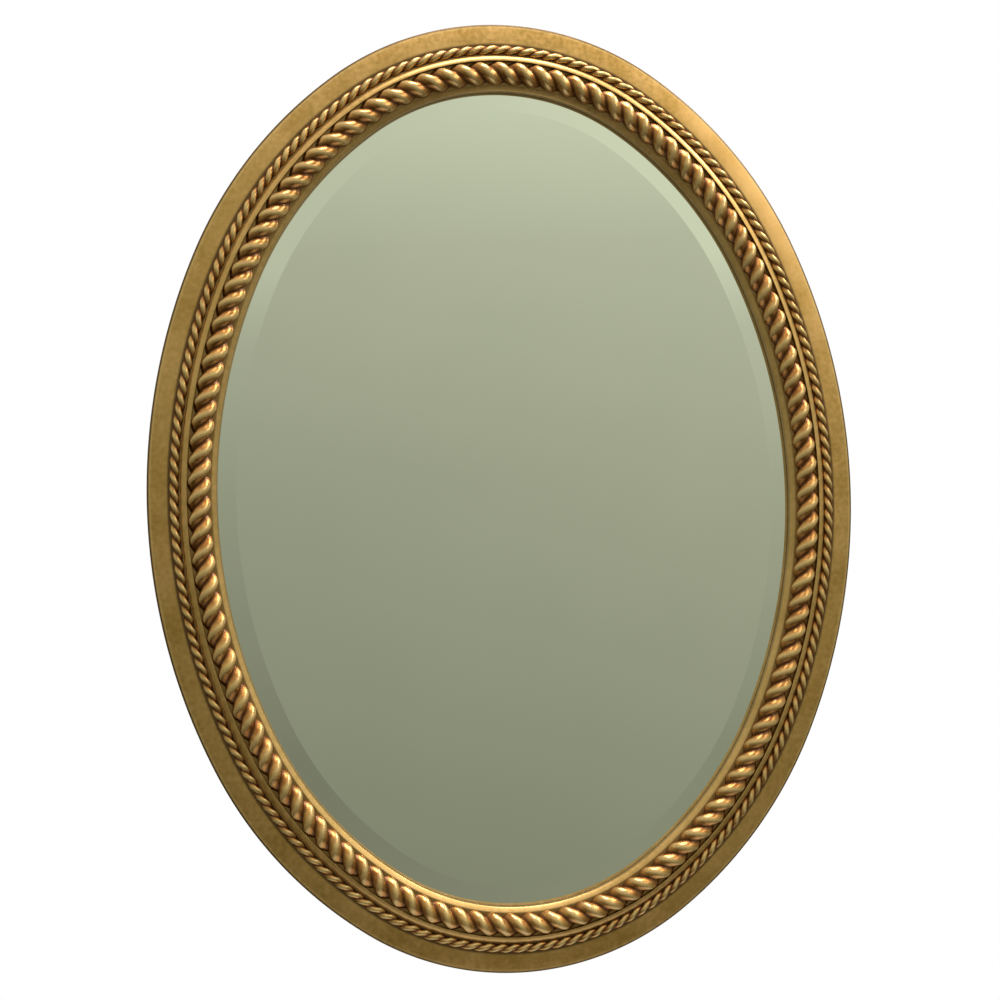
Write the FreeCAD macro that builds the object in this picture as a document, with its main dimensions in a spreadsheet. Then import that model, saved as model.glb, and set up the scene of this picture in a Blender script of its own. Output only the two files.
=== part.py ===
# Oval wall mirror: a segmented wooden frame with two applied rope mouldings, a bevelled plate,
# a backboard and two strap hangers with swinging D-rings.
# The wall is the plane Y = 0. The front faces -Y, +X is to the right seen from the front, +Z is up.
# The origin lies on the wall behind the middle of the oval.
import FreeCAD, Part
import math
import os
import Sketcher

Vector = FreeCAD.Vector
Placement = FreeCAD.Placement
Rotation = FreeCAD.Rotation
FACE_UP = Vector(0, -1, 0)

# Driving dimensions, in millimetres, degrees or counts.
SIZES = {
    # the oval, drawn as eight tangent arcs
    "frame_height": 940.0,
    "frame_width": 708.0,
    "end_arc_angle": 70.1,
    "side_arc_angle": 48.9,
    "shoulder_radius_share": 1.025,
    # the frame's face, from the outer edge to the glass
    "band_width": 20.5,
    "fillet_width": 6.5,
    "slip_width": 5.0,
    "rope_clearance": 0.5,
    # heights above the back of the frame
    "edge_height": 18.0,
    "band_height": 20.0,
    "fillet_height": 27.5,
    "channel_height": 22.0,
    "sight_height": 18.5,
    "rebate_width": 7.5,
    # loose tongues in the joints between the segments
    "tongue_thick": 5.0,
    "tongue_width": 30.0,
    "tongue_depth": 14.0,
    "tongue_inset": 14.0,
    "tongue_back": 7.0,
    "tongue_clearance": 0.2,
    # the two ropes
    "large_rope_width": 22.0,
    "large_rope_height": 12.0,
    "large_rope_groove": 3.0,
    "large_rope_strand_count": 122,
    "large_lay_angle": 50.0,
    "large_rope_side_count": 4,
    "fine_rope_width": 10.0,
    "fine_rope_height": 4.6,
    "fine_rope_groove": 1.3,
    "fine_rope_strand_count": 188,
    "fine_lay_angle": 38.0,
    "fine_rope_side_count": 2,
    # the mirror plate and its glue blocks
    "plate_thick": 6.0,
    "plate_edge_thick": 3.5,
    "bevel_width": 25.0,
    "plate_clearance": 1.0,
    "lip_gap": 0.3,
    "block_length": 30.0,
    "block_width": 9.0,
    "block_height": 7.7,
    "block_crest": 2.0,
    "block_gap": 0.3,
    "block_clearance": 0.3,
    # the backboard and its screws
    "board_thick": 4.0,
    "board_overlap": 14.0,
    "board_screw_inset": 7.0,
    "screw_shank_radius": 1.75,
    "screw_head_radius": 3.5,
    "screw_head_depth": 2.2,
    "screw_length": 16.0,
    "screw_tip": 2.5,
    "screw_clearance": 0.1,
    "screw_facet_count": 6,
    # strap hangers
    "hanger_up": 150.0,
    "hanger_inset": 23.0,
    "strap_width": 14.0,
    "strap_thick": 1.0,
    "strap_length": 40.0,
    "strap_end_screw": 5.5,
    "strap_end_radius": 6.0,
    "ring_wire_radius": 1.25,
    "ring_running_gap": 0.06,
    "ring_side_gap": 0.6,
    "ring_leg": 4.0,
    "ring_screw_gap": 1.9,
    "ring_facet_count": 8,
    "ring_bow_run_count": 6,
    "ring_rest_gap": 0.3,
    "barrel_facet_count": 12,
    "dome_height": 2.2,
    # felt bumpers
    "standoff": 6.0,
    "bumper_radius": 8.0,
    "bumper_inset": 23.0,
    "overrun": 2.0,
}

# Rows of the second sheet: sizes that follow from the driving ones.
FORMULAS = {
    "half_height": "Sizes.frame_height / 2",
    "half_width": "Sizes.frame_width / 2",
    "end_half": "Sizes.end_arc_angle / 2",
    "side_half": "Sizes.side_arc_angle / 2",
    "shoulder_half": "(90 - end_half - side_half) / 2",
    "radius_shoulder": "Sizes.shoulder_radius_share * sqrt(half_height * half_width)",
    "lean_end": "1 - cos(end_half)",
    "lean_side": "1 - cos(side_half)",
    "rise": "half_height + radius_shoulder * (sin(side_half) - cos(end_half))",
    "reach": "half_width + radius_shoulder * (sin(end_half) - cos(side_half))",
    "closure": "lean_end * lean_side - sin(side_half) * sin(end_half)",
    "radius_end": "(rise * lean_side - sin(side_half) * reach) / closure",
    "radius_side": "(lean_end * reach - sin(end_half) * rise) / closure",
    "end_centre": "half_height - radius_end",
    "side_centre": "half_width - radius_side",
    "shoulder_centre_across": "-(radius_shoulder - radius_end) * sin(end_half)",
    "shoulder_centre_up": "end_centre - (radius_shoulder - radius_end) * cos(end_half)",
    "fine_seat_end": "Sizes.band_width + Sizes.fine_rope_width + 2 * Sizes.rope_clearance",
    "fillet_end": "fine_seat_end + Sizes.fillet_width",
    "channel_end": "fillet_end + Sizes.large_rope_width + 2 * Sizes.rope_clearance",
    "sight_inset": "channel_end + Sizes.slip_width",
    "rebate_inset": "sight_inset - Sizes.rebate_width",
    "plate_inset": "rebate_inset + Sizes.plate_clearance",
    "plate_back": "Sizes.block_height + Sizes.block_gap",
    "bevel_depth": "Sizes.plate_thick - Sizes.plate_edge_thick",
    "bevel_at_sight": "bevel_depth * (Sizes.rebate_width - Sizes.plate_clearance) / Sizes.bevel_width",
    "lip_back": "plate_back + Sizes.plate_edge_thick + bevel_at_sight + Sizes.lip_gap",
    "board_inset": "rebate_inset - Sizes.board_overlap",
    "board_screw_at": "board_inset + Sizes.board_screw_inset",
    "fine_rope_inset": "Sizes.band_width + Sizes.rope_clearance + Sizes.fine_rope_width / 2",
    "large_rope_inset": "fillet_end + Sizes.rope_clearance + Sizes.large_rope_width / 2",
    "strap_second_screw": "Sizes.strap_length - Sizes.strap_end_screw",
    "ring_axis": "Sizes.strap_thick + Sizes.ring_rest_gap + Sizes.ring_wire_radius",
    "barrel_bore": "Sizes.ring_wire_radius + Sizes.ring_running_gap",
    "bore_corner": "barrel_bore / cos(180 / Sizes.barrel_facet_count)",
    "barrel_corner": "bore_corner + Sizes.strap_thick",
    "ring_half_width": "Sizes.strap_width / 2 + Sizes.ring_side_gap + Sizes.ring_wire_radius",
    "ring_reach": "Sizes.ring_leg + ring_half_width + Sizes.ring_wire_radius",
    "strap_first_screw": "ring_reach + Sizes.ring_screw_gap + Sizes.screw_head_radius",
    "hanger_radius": "radius_side - Sizes.hanger_inset",
    "hanger_beyond": "sqrt(hanger_radius ^ 2 - Sizes.hanger_up ^ 2)",
}

# Names of the rope lengths, clockwise from the top, seen from the front.
LENGTH_NAMES = [
    "top_right", "right_upper", "right_lower", "bottom_right",
    "bottom_left", "left_lower", "left_upper", "top_left",
]


def fill_sheet(doc, name, rows):
    """A sheet with a name and a value or a formula in each row."""
    sheet = doc.addObject("Spreadsheet::Sheet", name)
    for row, (alias, value) in enumerate(rows.items(), 1):
        sheet.set(f"A{row}", alias)
        sheet.set(f"B{row}", f"={value}" if isinstance(value, str) else str(value))
        sheet.setAlias(f"B{row}", alias)
    doc.recompute()
    return sheet


def plane_of(body, role):
    """One of a body's own origin planes."""
    return next(item for item in body.Origin.OriginFeatures if item.Role == role)


def new_sketch(body, name, role):
    sketch = body.newObject("Sketcher::SketchObject", name)
    sketch.AttachmentSupport = [(plane_of(body, role), "")]
    sketch.MapMode = "FlatFace"
    return sketch


def pin_point(sketch, edge, end, across, along):
    """Ties one end of an edge to the sketch's origin by two formulas."""
    for kind, formula in (("DistanceX", across), ("DistanceY", along)):
        sketch.addConstraint(Sketcher.Constraint(kind, -1, 1, edge, end, 1.0))
        sketch.setExpression(f"Constraints[{sketch.ConstraintCount - 1}]", formula)


def outline(sketch, corners):
    """A closed outline of straight lines through corners given as pairs of formulas."""
    doc = sketch.Document
    points = [Vector(*(evaluate(doc, formula) for formula in corner), 0) for corner in corners]
    for start, stop in zip(points, points[1:] + points[:1]):
        sketch.addGeometry(Part.LineSegment(start, stop), False)
    for edge in range(len(points)):
        sketch.addConstraint(Sketcher.Constraint("Coincident", edge, 2, (edge + 1) % len(points), 1))
    for edge, (across, along) in enumerate(corners):
        pin_point(sketch, edge, 1, across, along)


def evaluate(doc, formula):
    """The value of a formula of the two sheets."""
    return float(doc.getObject("Sizes").evalExpression(formula))


def arcs_of(oval):
    """The eight arcs: name, centre across, centre up, radius, middle direction and half angle.

    Directions are in degrees from +X towards +Z.
    """
    end, side, shoulder = oval.end_half, oval.side_half, oval.shoulder_half
    slant = oval.side_half + oval.shoulder_half
    across, up = oval.shoulder_centre_across, oval.shoulder_centre_up
    return [
        ("top", "0", "Oval.end_centre", "Oval.radius_end", 90, end),
        ("upper_right", "Oval.shoulder_centre_across", "Oval.shoulder_centre_up",
         "Oval.radius_shoulder", slant, shoulder),
        ("right", "Oval.side_centre", "0", "Oval.radius_side", 0, side),
        ("lower_right", "Oval.shoulder_centre_across", "-Oval.shoulder_centre_up",
         "Oval.radius_shoulder", -slant, shoulder),
        ("bottom", "0", "-Oval.end_centre", "Oval.radius_end", -90, end),
        ("lower_left", "-Oval.shoulder_centre_across", "-Oval.shoulder_centre_up",
         "Oval.radius_shoulder", slant - 180, shoulder),
        ("left", "-Oval.side_centre", "0", "Oval.radius_side", 180, side),
        ("upper_left", "-Oval.shoulder_centre_across", "Oval.shoulder_centre_up",
         "Oval.radius_shoulder", 180 - slant, shoulder),
    ]


# The frame's section: insets from the outer edge and heights above the back.
SECTION = [
    ("0", "0"),
    ("0", "Sizes.edge_height"),
    ("Sizes.band_width", "Sizes.band_height"),
    ("Oval.fine_seat_end", "Sizes.band_height"),
    ("Oval.fillet_end", "Sizes.fillet_height"),
    ("Oval.fillet_end", "Sizes.channel_height"),
    ("Oval.channel_end", "Sizes.channel_height"),
    ("Oval.sight_inset", "Sizes.sight_height"),
    ("Oval.sight_inset", "Oval.lip_back"),
    ("Oval.rebate_inset", "Oval.lip_back"),
    ("Oval.rebate_inset", "0"),
]


def pocket(body, name, sketch, depth, reverse):
    """A pocket that has to take material away."""
    before = body.Shape.Volume
    hollow = body.newObject("PartDesign::Pocket", name)
    hollow.Profile = sketch
    hollow.Reversed = reverse
    hollow.setExpression("Length", depth)
    body.Document.recompute()
    if not body.Shape.Volume < before:
        raise RuntimeError(f"{body.Label}: {name} cuts nothing")


def tongue_slot(body, arc, side):
    """The slot for a loose tongue in one end of a segment, side +1 or -1."""
    doc = body.Document
    name, radius, half = arc[0], arc[3], arc[5]
    end = "start" if side > 0 else "stop"
    sketch = new_sketch(body, f"{name}_{end}_slot_outline", "XY_Plane")
    sketch.AttachmentOffset = Placement(Vector(), Rotation(Vector(0, side, 0), half))
    outer = f"{radius} - Sizes.tongue_inset + Sizes.tongue_clearance"
    inner = f"{radius} - Sizes.tongue_inset - Sizes.tongue_width - Sizes.tongue_clearance"
    low = "Sizes.tongue_clearance - Sizes.tongue_back"
    high = "-(Sizes.tongue_back + Sizes.tongue_thick + Sizes.tongue_clearance)"
    outline(sketch, [(inner, low), (outer, low), (outer, high), (inner, high)])
    doc.recompute()
    pocket(body, f"{name}_{end}_slot", sketch, "Sizes.tongue_depth + Sizes.tongue_clearance", side > 0)


def frame_segment(doc, arc, holes):
    """One length of the frame: the section turned about the centre of its arc."""
    name, radius, middle, half = arc[0], arc[3], arc[4], arc[5]
    body = doc.addObject("PartDesign::Body", f"{name}_blank")
    sketch = new_sketch(body, f"{name}_section", "XY_Plane")
    outline(sketch, [(f"{radius} - ({inset})", f"-({height})") for inset, height in SECTION])
    turn = body.newObject("PartDesign::Revolution", f"{name}_turn")
    turn.Profile = sketch
    turn.ReferenceAxis = (sketch, ["V_Axis"])
    turn.Midplane = True
    turn.Angle = 2 * half
    doc.recompute()
    for side in (1, -1):
        tongue_slot(body, arc, side)
    body.Placement = arc_placement(doc, arc, middle)
    return cut(doc, f"frame_{name}", body, holes)


def arc_placement(doc, arc, direction):
    """A place on an arc's axis at the back of the frame, with X turned to a direction."""
    across, up = evaluate(doc, arc[1]), evaluate(doc, arc[2])
    base = Vector(across, -doc.Sizes.standoff, up)
    return Placement(base, Rotation(FACE_UP, direction))


def joint_tongues(doc, arcs):
    """Eight loose tongues, each half in one segment and half in the next."""
    tongues = []
    for arc in arcs:
        box = doc.addObject("Part::Box", f"tongue_{arc[0]}")
        box.setExpression("Length", "Sizes.tongue_width")
        box.setExpression("Width", "Sizes.tongue_thick")
        box.setExpression("Height", "2 * Sizes.tongue_depth")
        inner = f"{arc[3]} - Sizes.tongue_inset - Sizes.tongue_width"
        corner = Vector(
            evaluate(doc, inner),
            evaluate(doc, "-(Sizes.tongue_back + Sizes.tongue_thick)"),
            evaluate(doc, "-Sizes.tongue_depth"),
        )
        box.Placement = arc_placement(doc, arc, arc[4] - arc[5]) * Placement(corner, Rotation())
        tongues.append(box)
    return group(doc, "joint_tongues", tongues)


# Four corners lie in one plane where their normals differ by less than this angle, in radians.
FLAT_ANGLE = 1e-9


def skin(loops, closed=False):
    """A solid of flat faces through closed loops of points, capped at both ends or closed on itself."""
    faces = []
    following = loops[1:] + loops[:1] if closed else loops[1:]
    for near, far in zip(loops, following):
        for a, b, c, d in zip(near, near[1:] + near[:1], far[1:] + far[:1], far):
            if (b - a).cross(d - a).getAngle((c - b).cross(d - c)) < FLAT_ANGLE:
                faces.append(flat_face(a, b, c, d))
            else:
                faces += [flat_face(a, b, d), flat_face(b, c, d)]
    if not closed:
        faces += [flat_face(*loops[0]), flat_face(*loops[-1])]
    shell = Part.Shell(faces)
    shell.sewShape()
    solid = Part.Solid(shell)
    return solid if solid.Volume > 0 else solid.reversed()


def flat_face(*points):
    return Part.Face(Part.makePolygon([*points, points[0]]))


def ring_of_points(centre, across, along, radius, count):
    """Points on a circle given by its centre and two unit directions in its plane."""
    angles = [2 * math.pi * (step + 1 / 2) / count for step in range(count)]
    return [
        centre + across * (radius * math.cos(angle)) + along * (radius * math.sin(angle))
        for angle in angles
    ]


def group(doc, name, pieces):
    """Like pieces as one node of separate solids."""
    together = doc.addObject("Part::Compound", name)
    together.Links = pieces
    return together


def oval_arcs(doc, arcs, inset):
    """The oval at an inset from the outer edge, as arcs in a plane with X across and Y up."""
    for arc in arcs:
        centre = Vector(evaluate(doc, arc[1]), evaluate(doc, arc[2]), 0)
        circle = Part.Circle(centre, Vector(0, 0, 1), evaluate(doc, f"{arc[3]} - ({inset})"))
        start, stop = math.radians(arc[4] - arc[5]), math.radians(arc[4] + arc[5])
        yield Part.ArcOfCircle(circle, start, stop)


def oval_pad(doc, name, arcs, inset, thick, back):
    """An oval sheet of one thickness that lies in front of the plane at a height above the frame's back."""
    body = doc.addObject("PartDesign::Body", name)
    sketch = new_sketch(body, f"{name}_outline", "XZ_Plane")
    sketch.addGeometry(list(oval_arcs(doc, arcs, inset)), False)
    pad = body.newObject("PartDesign::Pad", f"{name}_sheet")
    pad.Profile = sketch
    pad.setExpression("Length", thick)
    body.setExpression("Placement.Base.y", f"-(Sizes.standoff + {back})")
    doc.recompute()
    return body, pad


def mirror_plate(doc, arcs):
    """The silvered glass, bevelled round its front edge."""
    thick, back = "Sizes.plate_thick", "Oval.plate_back"
    body, pad = oval_pad(doc, "mirror_plate", arcs, "Oval.plate_inset", thick, back)
    front = min(vertex.Point.y for vertex in pad.Shape.Vertexes)
    rim = [
        f"Edge{index}"
        for index, edge in enumerate(pad.Shape.Edges, 1)
        if max(abs(vertex.Point.y - front) for vertex in edge.Vertexes) < doc.Sizes.lip_gap
    ]
    bevel = body.newObject("PartDesign::Chamfer", "bevel")
    bevel.Base = (pad, rim)
    bevel.ChamferType = "Two distances"
    bevel.setExpression("Size", "Oval.bevel_depth")
    bevel.setExpression("Size2", "Sizes.bevel_width")
    doc.recompute()
    return body


def backboard(doc, arcs, holes):
    """Thin plywood over the rebate, with a countersunk hole over each segment."""
    thick = "Sizes.board_thick"
    body, _ = oval_pad(doc, "board_blank", arcs, "Oval.board_inset", thick, f"-{thick}")
    return cut(doc, "backboard", body, holes)


def arc_spot(doc, arc, inset):
    """The point in the middle of an arc at an inset, at the back of the frame."""
    reach = evaluate(doc, f"{arc[3]} - ({inset})")
    return arc_placement(doc, arc, arc[4]).multVec(Vector(reach, 0, 0))


def faceted(doc, points):
    """A solid about the Y axis with flat sides, from pairs: distance from the axis and height."""
    count = int(doc.Sizes.screw_facet_count)
    across, up = Vector(1, 0, 0), Vector(0, 0, 1)
    return skin([ring_of_points(Vector(0, height, 0), across, up, reach, count) for reach, height in points])


def copies_at(doc, name, shape, spots):
    feature = doc.addObject("Part::Feature", name)
    feature.Shape = Part.Compound([shape.translated(spot) for spot in spots])
    return feature


def shank(sizes):
    """A wood screw's shank and blunt tip; heights are from under the board or the strap's face."""
    return [
        (sizes.screw_shank_radius, sizes.screw_tip - sizes.screw_length),
        (sizes.screw_shank_radius * TIP_SHARE, -sizes.screw_length),
    ]


# A screw's tip, as a share of its shank, and where a round head's slope breaks,
# as shares of its radius and its height.
TIP_SHARE = 0.2
DOME_SHARES = (0.75, 0.7)


def board_spots(doc, arcs):
    """Where the board's screws start: flush with its back, over the middle of each segment."""
    lift = Vector(0, doc.Sizes.board_thick, 0)
    return [arc_spot(doc, arc, "Oval.board_screw_at") + lift for arc in arcs]


def board_screws(doc, arcs):
    """Countersunk screws, flush with the back of the board."""
    sizes = doc.Sizes
    points = [
        (sizes.screw_head_radius, 0),
        (sizes.screw_shank_radius, -sizes.screw_head_depth),
        *shank(sizes),
    ]
    return copies_at(doc, "board_screws", faceted(doc, points), board_spots(doc, arcs))


def board_screw_holes(doc, arcs):
    """What the board's screws need cut away: a countersunk hole and a pilot hole."""
    sizes = doc.Sizes
    gap = sizes.screw_clearance
    bottom = -(sizes.screw_length + sizes.overrun)
    points = [
        (sizes.screw_head_radius + gap, sizes.overrun),
        (sizes.screw_head_radius + gap, 0),
        (sizes.screw_shank_radius + gap, -sizes.screw_head_depth),
        (sizes.screw_shank_radius + gap, bottom),
    ]
    return copies_at(doc, "board_screw_holes", faceted(doc, points), board_spots(doc, arcs))


def strap_spots(doc, side):
    """Where the two screws of a strap start, on the strap's face."""
    lift = Vector(0, doc.Sizes.strap_thick, 0)
    steps = (doc.Oval.strap_first_screw, doc.Oval.strap_second_screw)
    return [hanger_spot(doc, side) + lift + Vector(0, 0, -step) for step in steps]


def hanger_screws(doc):
    """Round-head screws, two through each strap."""
    sizes = doc.Sizes
    points = [
        (sizes.screw_head_radius * DOME_SHARES[0], sizes.dome_height),
        (sizes.screw_head_radius, sizes.dome_height * (1 - DOME_SHARES[1])),
        (sizes.screw_head_radius, 0),
        (sizes.screw_shank_radius, 0),
        *shank(sizes),
    ]
    spots = strap_spots(doc, -1) + strap_spots(doc, 1)
    return copies_at(doc, "hanger_screws", faceted(doc, points), spots)


def strap_screw_holes(doc, side):
    """What a strap's screws need cut away from the strap and from the wood behind it."""
    sizes = doc.Sizes
    reach = sizes.screw_shank_radius + sizes.screw_clearance
    points = [(reach, sizes.overrun), (reach, -(sizes.screw_length + sizes.overrun))]
    name = f"strap_screw_holes_{'right' if side > 0 else 'left'}"
    return copies_at(doc, name, faceted(doc, points), strap_spots(doc, side))


def cut(doc, name, base, tool):
    """One shape less another, which has to take material away."""
    piece = doc.addObject("Part::Cut", name)
    piece.Base, piece.Tool = base, tool
    piece.Refine = False
    doc.recompute()
    if not piece.Shape.Volume < base.Shape.Volume:
        raise RuntimeError(f"{name}: nothing is cut away")
    return piece


def glue_blocks(doc, arcs):
    """Sloped blocks behind the plate, two to each long arc and one to each shoulder."""
    blocks = []
    for arc in arcs:
        across = "Sizes.block_clearance + Sizes.block_length ^ 2 / (8 * (" + arc[3] + " - Oval.rebate_inset))"
        outer = f"{arc[3]} - Oval.rebate_inset - ({across})"
        spots = (0,) if "_" in arc[0] else (-BLOCK_SHARE, BLOCK_SHARE)
        for share in spots:
            block = doc.addObject("Part::Wedge", f"block_{arc[0]}_{len(blocks)}")
            for key, formula in BLOCK.items():
                block.setExpression(key, formula)
            corner = Vector(
                evaluate(doc, outer),
                evaluate(doc, "-Oval.plate_back"),
                evaluate(doc, "-Sizes.block_length / 2"),
            )
            turned = arc_placement(doc, arc, arc[4] + share * arc[5])
            block.Placement = turned * Placement(corner, Rotation())
            blocks.append(block)
    return group(doc, "glue_blocks", blocks)


# A block's place on its arc, as a share of the half angle, and the sides of its wedge.
BLOCK_SHARE = 0.5
BLOCK = {
    "Xmin": "-Sizes.block_width", "Xmax": "0 mm",
    "Ymin": "0 mm", "Ymax": "Sizes.block_height",
    "Zmin": "0 mm", "Zmax": "Sizes.block_length",
    "X2min": "-Sizes.block_crest", "X2max": "0 mm",
    "Z2min": "0 mm", "Z2max": "Sizes.block_length",
}


def hanger_spot(doc, side):
    """The point at the back of the frame behind the middle of a ring's hinge; side -1 is left."""
    across = evaluate(doc, "Oval.side_centre + Oval.hanger_beyond")
    return Vector(side * across, -doc.Sizes.standoff, doc.Sizes.hanger_up)


def hanger_strap(doc, name, side, holes):
    """A steel strap rolled into a barrel round the ring's straight leg."""
    body = doc.addObject("PartDesign::Body", f"{name}_strap_plate")
    plate = new_sketch(body, f"{name}_strap_outline", "XZ_Plane")
    wide, long = "Sizes.strap_width / 2", "-Sizes.strap_length"
    outline(plate, [(f"-{wide}", long), (wide, long), (wide, "0"), (f"-{wide}", "0")])
    pad = body.newObject("PartDesign::Pad", f"{name}_strap_sheet")
    pad.Profile = plate
    pad.Reversed = True
    pad.setExpression("Length", "Sizes.strap_thick")
    doc.recompute()
    corners = [
        f"Edge{index}"
        for index, edge in enumerate(pad.Shape.Edges, 1)
        if edge.BoundBox.ZMax < -doc.Oval.strap_second_screw and edge.BoundBox.XLength < doc.Sizes.lip_gap
    ]
    rounding = body.newObject("PartDesign::Fillet", f"{name}_strap_end")
    rounding.Base = (pad, corners)
    rounding.setExpression("Radius", "Sizes.strap_end_radius")
    body.Placement = Placement(hanger_spot(doc, side), Rotation())
    rolled = doc.addObject("Part::Fuse", f"{name}_rolled_strap")
    rolled.Base = body
    rolled.Tool = rod(doc, f"{name}_barrel", side, "Oval.barrel_corner", "Sizes.strap_width")
    doc.recompute()
    hollow = rod(doc, f"{name}_bore", side, "Oval.bore_corner", "Sizes.strap_width + 2 * Sizes.overrun")
    bored = cut(doc, f"{name}_bored_strap", rolled, hollow)
    return cut(doc, f"hanger_strap_{name}", bored, holes)


def rod(doc, name, side, radius, length):
    """A flat-sided rod along a ring's hinge, of a corner radius and a length given by formulas."""
    shape = doc.addObject("Part::Prism", name)
    shape.setExpression("Polygon", "Sizes.barrel_facet_count")
    shape.setExpression("Circumradius", radius)
    shape.setExpression("Height", length)
    start = Vector(-evaluate(doc, length) / 2, doc.Oval.ring_axis, 0)
    shape.Placement = Placement(hanger_spot(doc, side) + start, Rotation(Vector(0, 1, 0), 90))
    return shape


def hanger_ring(doc, name, side):
    """A D-ring of round wire that hangs from its straight leg."""
    sizes, oval = doc.Sizes, doc.Oval
    wide, leg, runs = oval.ring_half_width, sizes.ring_leg, int(sizes.ring_bow_run_count)
    turns = [-math.pi * step / runs for step in range(runs + 1)]
    bow = [Vector(wide * math.cos(turn), 0, wide * math.sin(turn) - leg) for turn in turns]
    path = [Vector(wide, 0, 0), *bow, Vector(-wide, 0, 0)]
    loops = []
    for before, point, after in zip(path[-1:] + path[:-1], path, path[1:] + path[:1]):
        inward, onward = (point - before).normalize(), (after - point).normalize()
        mitre = (inward + onward).normalize().cross(Vector(0, 1, 0))
        stretch = 1 / math.cos(inward.getAngle(onward) / 2)
        loops.append(
            ring_of_points(
                point, mitre * stretch, Vector(0, 1, 0), sizes.ring_wire_radius, int(sizes.ring_facet_count)
            )
        )
    feature = doc.addObject("Part::Feature", f"hanger_ring_{name}")
    feature.Shape = skin(loops, True)
    feature.Placement = Placement(hanger_spot(doc, side) + Vector(0, oval.ring_axis, 0), Rotation())
    return feature


def wall_bumpers(doc, arcs):
    """Felt discs at the back of the two lower shoulders."""
    discs = []
    for arc in arcs:
        if arc[0] in ("lower_left", "lower_right"):
            disc = doc.addObject("Part::Cylinder", f"bumper_{arc[0]}")
            disc.setExpression("Radius", "Sizes.bumper_radius")
            disc.setExpression("Height", "Sizes.standoff")
            spot = arc_spot(doc, arc, "Sizes.bumper_inset")
            disc.Placement = Placement(spot, Rotation(Vector(1, 0, 0), -90))
            discs.append(disc)
    return group(doc, "wall_bumpers", discs)


def walk(doc, arcs, inset, distance):
    """A place along the oval, clockwise from the top: point, outward direction and onward direction."""
    order = [arcs[0], *arcs[1:], arcs[0]]
    reaches = [evaluate(doc, f"{arc[3]} - ({inset})") for arc in order]
    spans = [math.radians(arc[5]) * (1 if arc is arcs[0] else 2) for arc in order]
    for place, (arc, reach, span) in enumerate(zip(order, reaches, spans)):
        length = reach * span
        if distance <= length or place == len(order) - 1:
            break
        distance -= length
    first = arc[4] if place == 0 else arc[4] + arc[5]
    direction = math.radians(first) - distance / reach
    outward = Vector(math.cos(direction), 0, math.sin(direction))
    onward = Vector(math.sin(direction), 0, -math.cos(direction))
    centre = Vector(evaluate(doc, arc[1]), 0, evaluate(doc, arc[2]))
    return centre + outward * reach, outward, onward


def girth(doc, arcs, inset):
    """The length of the oval at an inset."""
    return sum(evaluate(doc, f"{arc[3]} - ({inset})") * 2 * math.radians(arc[5]) for arc in arcs)


def strand_section(place, lift, half_width, height, lean, sides):
    """The corners of a half-round section of a rope, cut along its strands, with a flat underside."""
    point, outward, onward = place
    corners = []
    for step in range(sides + 1):
        turn = math.pi * step / sides
        across = half_width * math.cos(turn)
        rise = lift + height * math.sin(turn)
        corners.append(point + outward * across + onward * (lean * across) + FACE_UP * rise)
    return corners


# Where the crest sections of a strand lie, as shares of the strand.
CREST_SHARES = {"large": (1 / 3, 2 / 3), "fine": (1 / 2,)}


def rope_lengths(doc, arcs, rope, inset, seat, lean):
    """The eight lengths of a rope: each a skin from groove to crest to groove along its strands."""
    sizes = doc.Sizes
    half_width = evaluate(doc, f"Sizes.{rope}_rope_width / 2")
    height = evaluate(doc, f"Sizes.{rope}_rope_height")
    groove_share = 1 - evaluate(doc, f"Sizes.{rope}_rope_groove") / height
    strands = int(evaluate(doc, f"Sizes.{rope}_rope_strand_count"))
    sides = int(evaluate(doc, f"Sizes.{rope}_rope_side_count"))
    pitch = girth(doc, arcs, inset) / strands
    lift = sizes.standoff + evaluate(doc, seat)

    def section(strand, share):
        place = walk(doc, arcs, inset, (strand + share) * pitch)
        scale = 1 if share else groove_share
        return strand_section(place, lift, half_width * scale, height * scale, lean, sides)

    count = len(LENGTH_NAMES)
    shares = (0, *CREST_SHARES[rope])
    lengths = []
    for index, name in enumerate(LENGTH_NAMES):
        first, last = round(index * strands / count), round((index + 1) * strands / count)
        loops = [section(strand, share) for strand in range(first, last) for share in shares]
        loops.append(section(last, 0))
        feature = doc.addObject("Part::Feature", f"{rope}_rope_{name}")
        feature.Shape = skin(loops)
        lengths.append(feature)
    return lengths


def main():
    doc = FreeCAD.newDocument("oval_mirror")
    sizes = fill_sheet(doc, "Sizes", SIZES)
    oval = fill_sheet(doc, "Oval", FORMULAS)
    arcs = arcs_of(oval)
    board_holes = board_screw_holes(doc, arcs)
    strap_holes = {"left": strap_screw_holes(doc, -1), "right": strap_screw_holes(doc, 1)}
    parts = []
    for arc in arcs:
        holes = [board_holes, *(strap_holes[side] for side in strap_holes if side == arc[0])]
        parts.append(frame_segment(doc, arc, group(doc, f"{arc[0]}_holes", holes)))
    parts.append(joint_tongues(doc, arcs))
    large_lean = -1 / math.tan(math.radians(sizes.large_lay_angle))
    fine_lean = 1 / math.tan(math.radians(sizes.fine_lay_angle))
    parts += rope_lengths(doc, arcs, "large", "Oval.large_rope_inset", "Sizes.channel_height", large_lean)
    parts += rope_lengths(doc, arcs, "fine", "Oval.fine_rope_inset", "Sizes.band_height", fine_lean)
    parts += [mirror_plate(doc, arcs), glue_blocks(doc, arcs)]
    parts += [backboard(doc, arcs, board_holes), board_screws(doc, arcs)]
    for name, side in (("left", -1), ("right", 1)):
        parts += [hanger_strap(doc, name, side, strap_holes[name]), hanger_ring(doc, name, side)]
    parts += [hanger_screws(doc), wall_bumpers(doc, arcs)]
    doc.recompute()
    check(doc, parts)
    export(parts)


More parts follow.
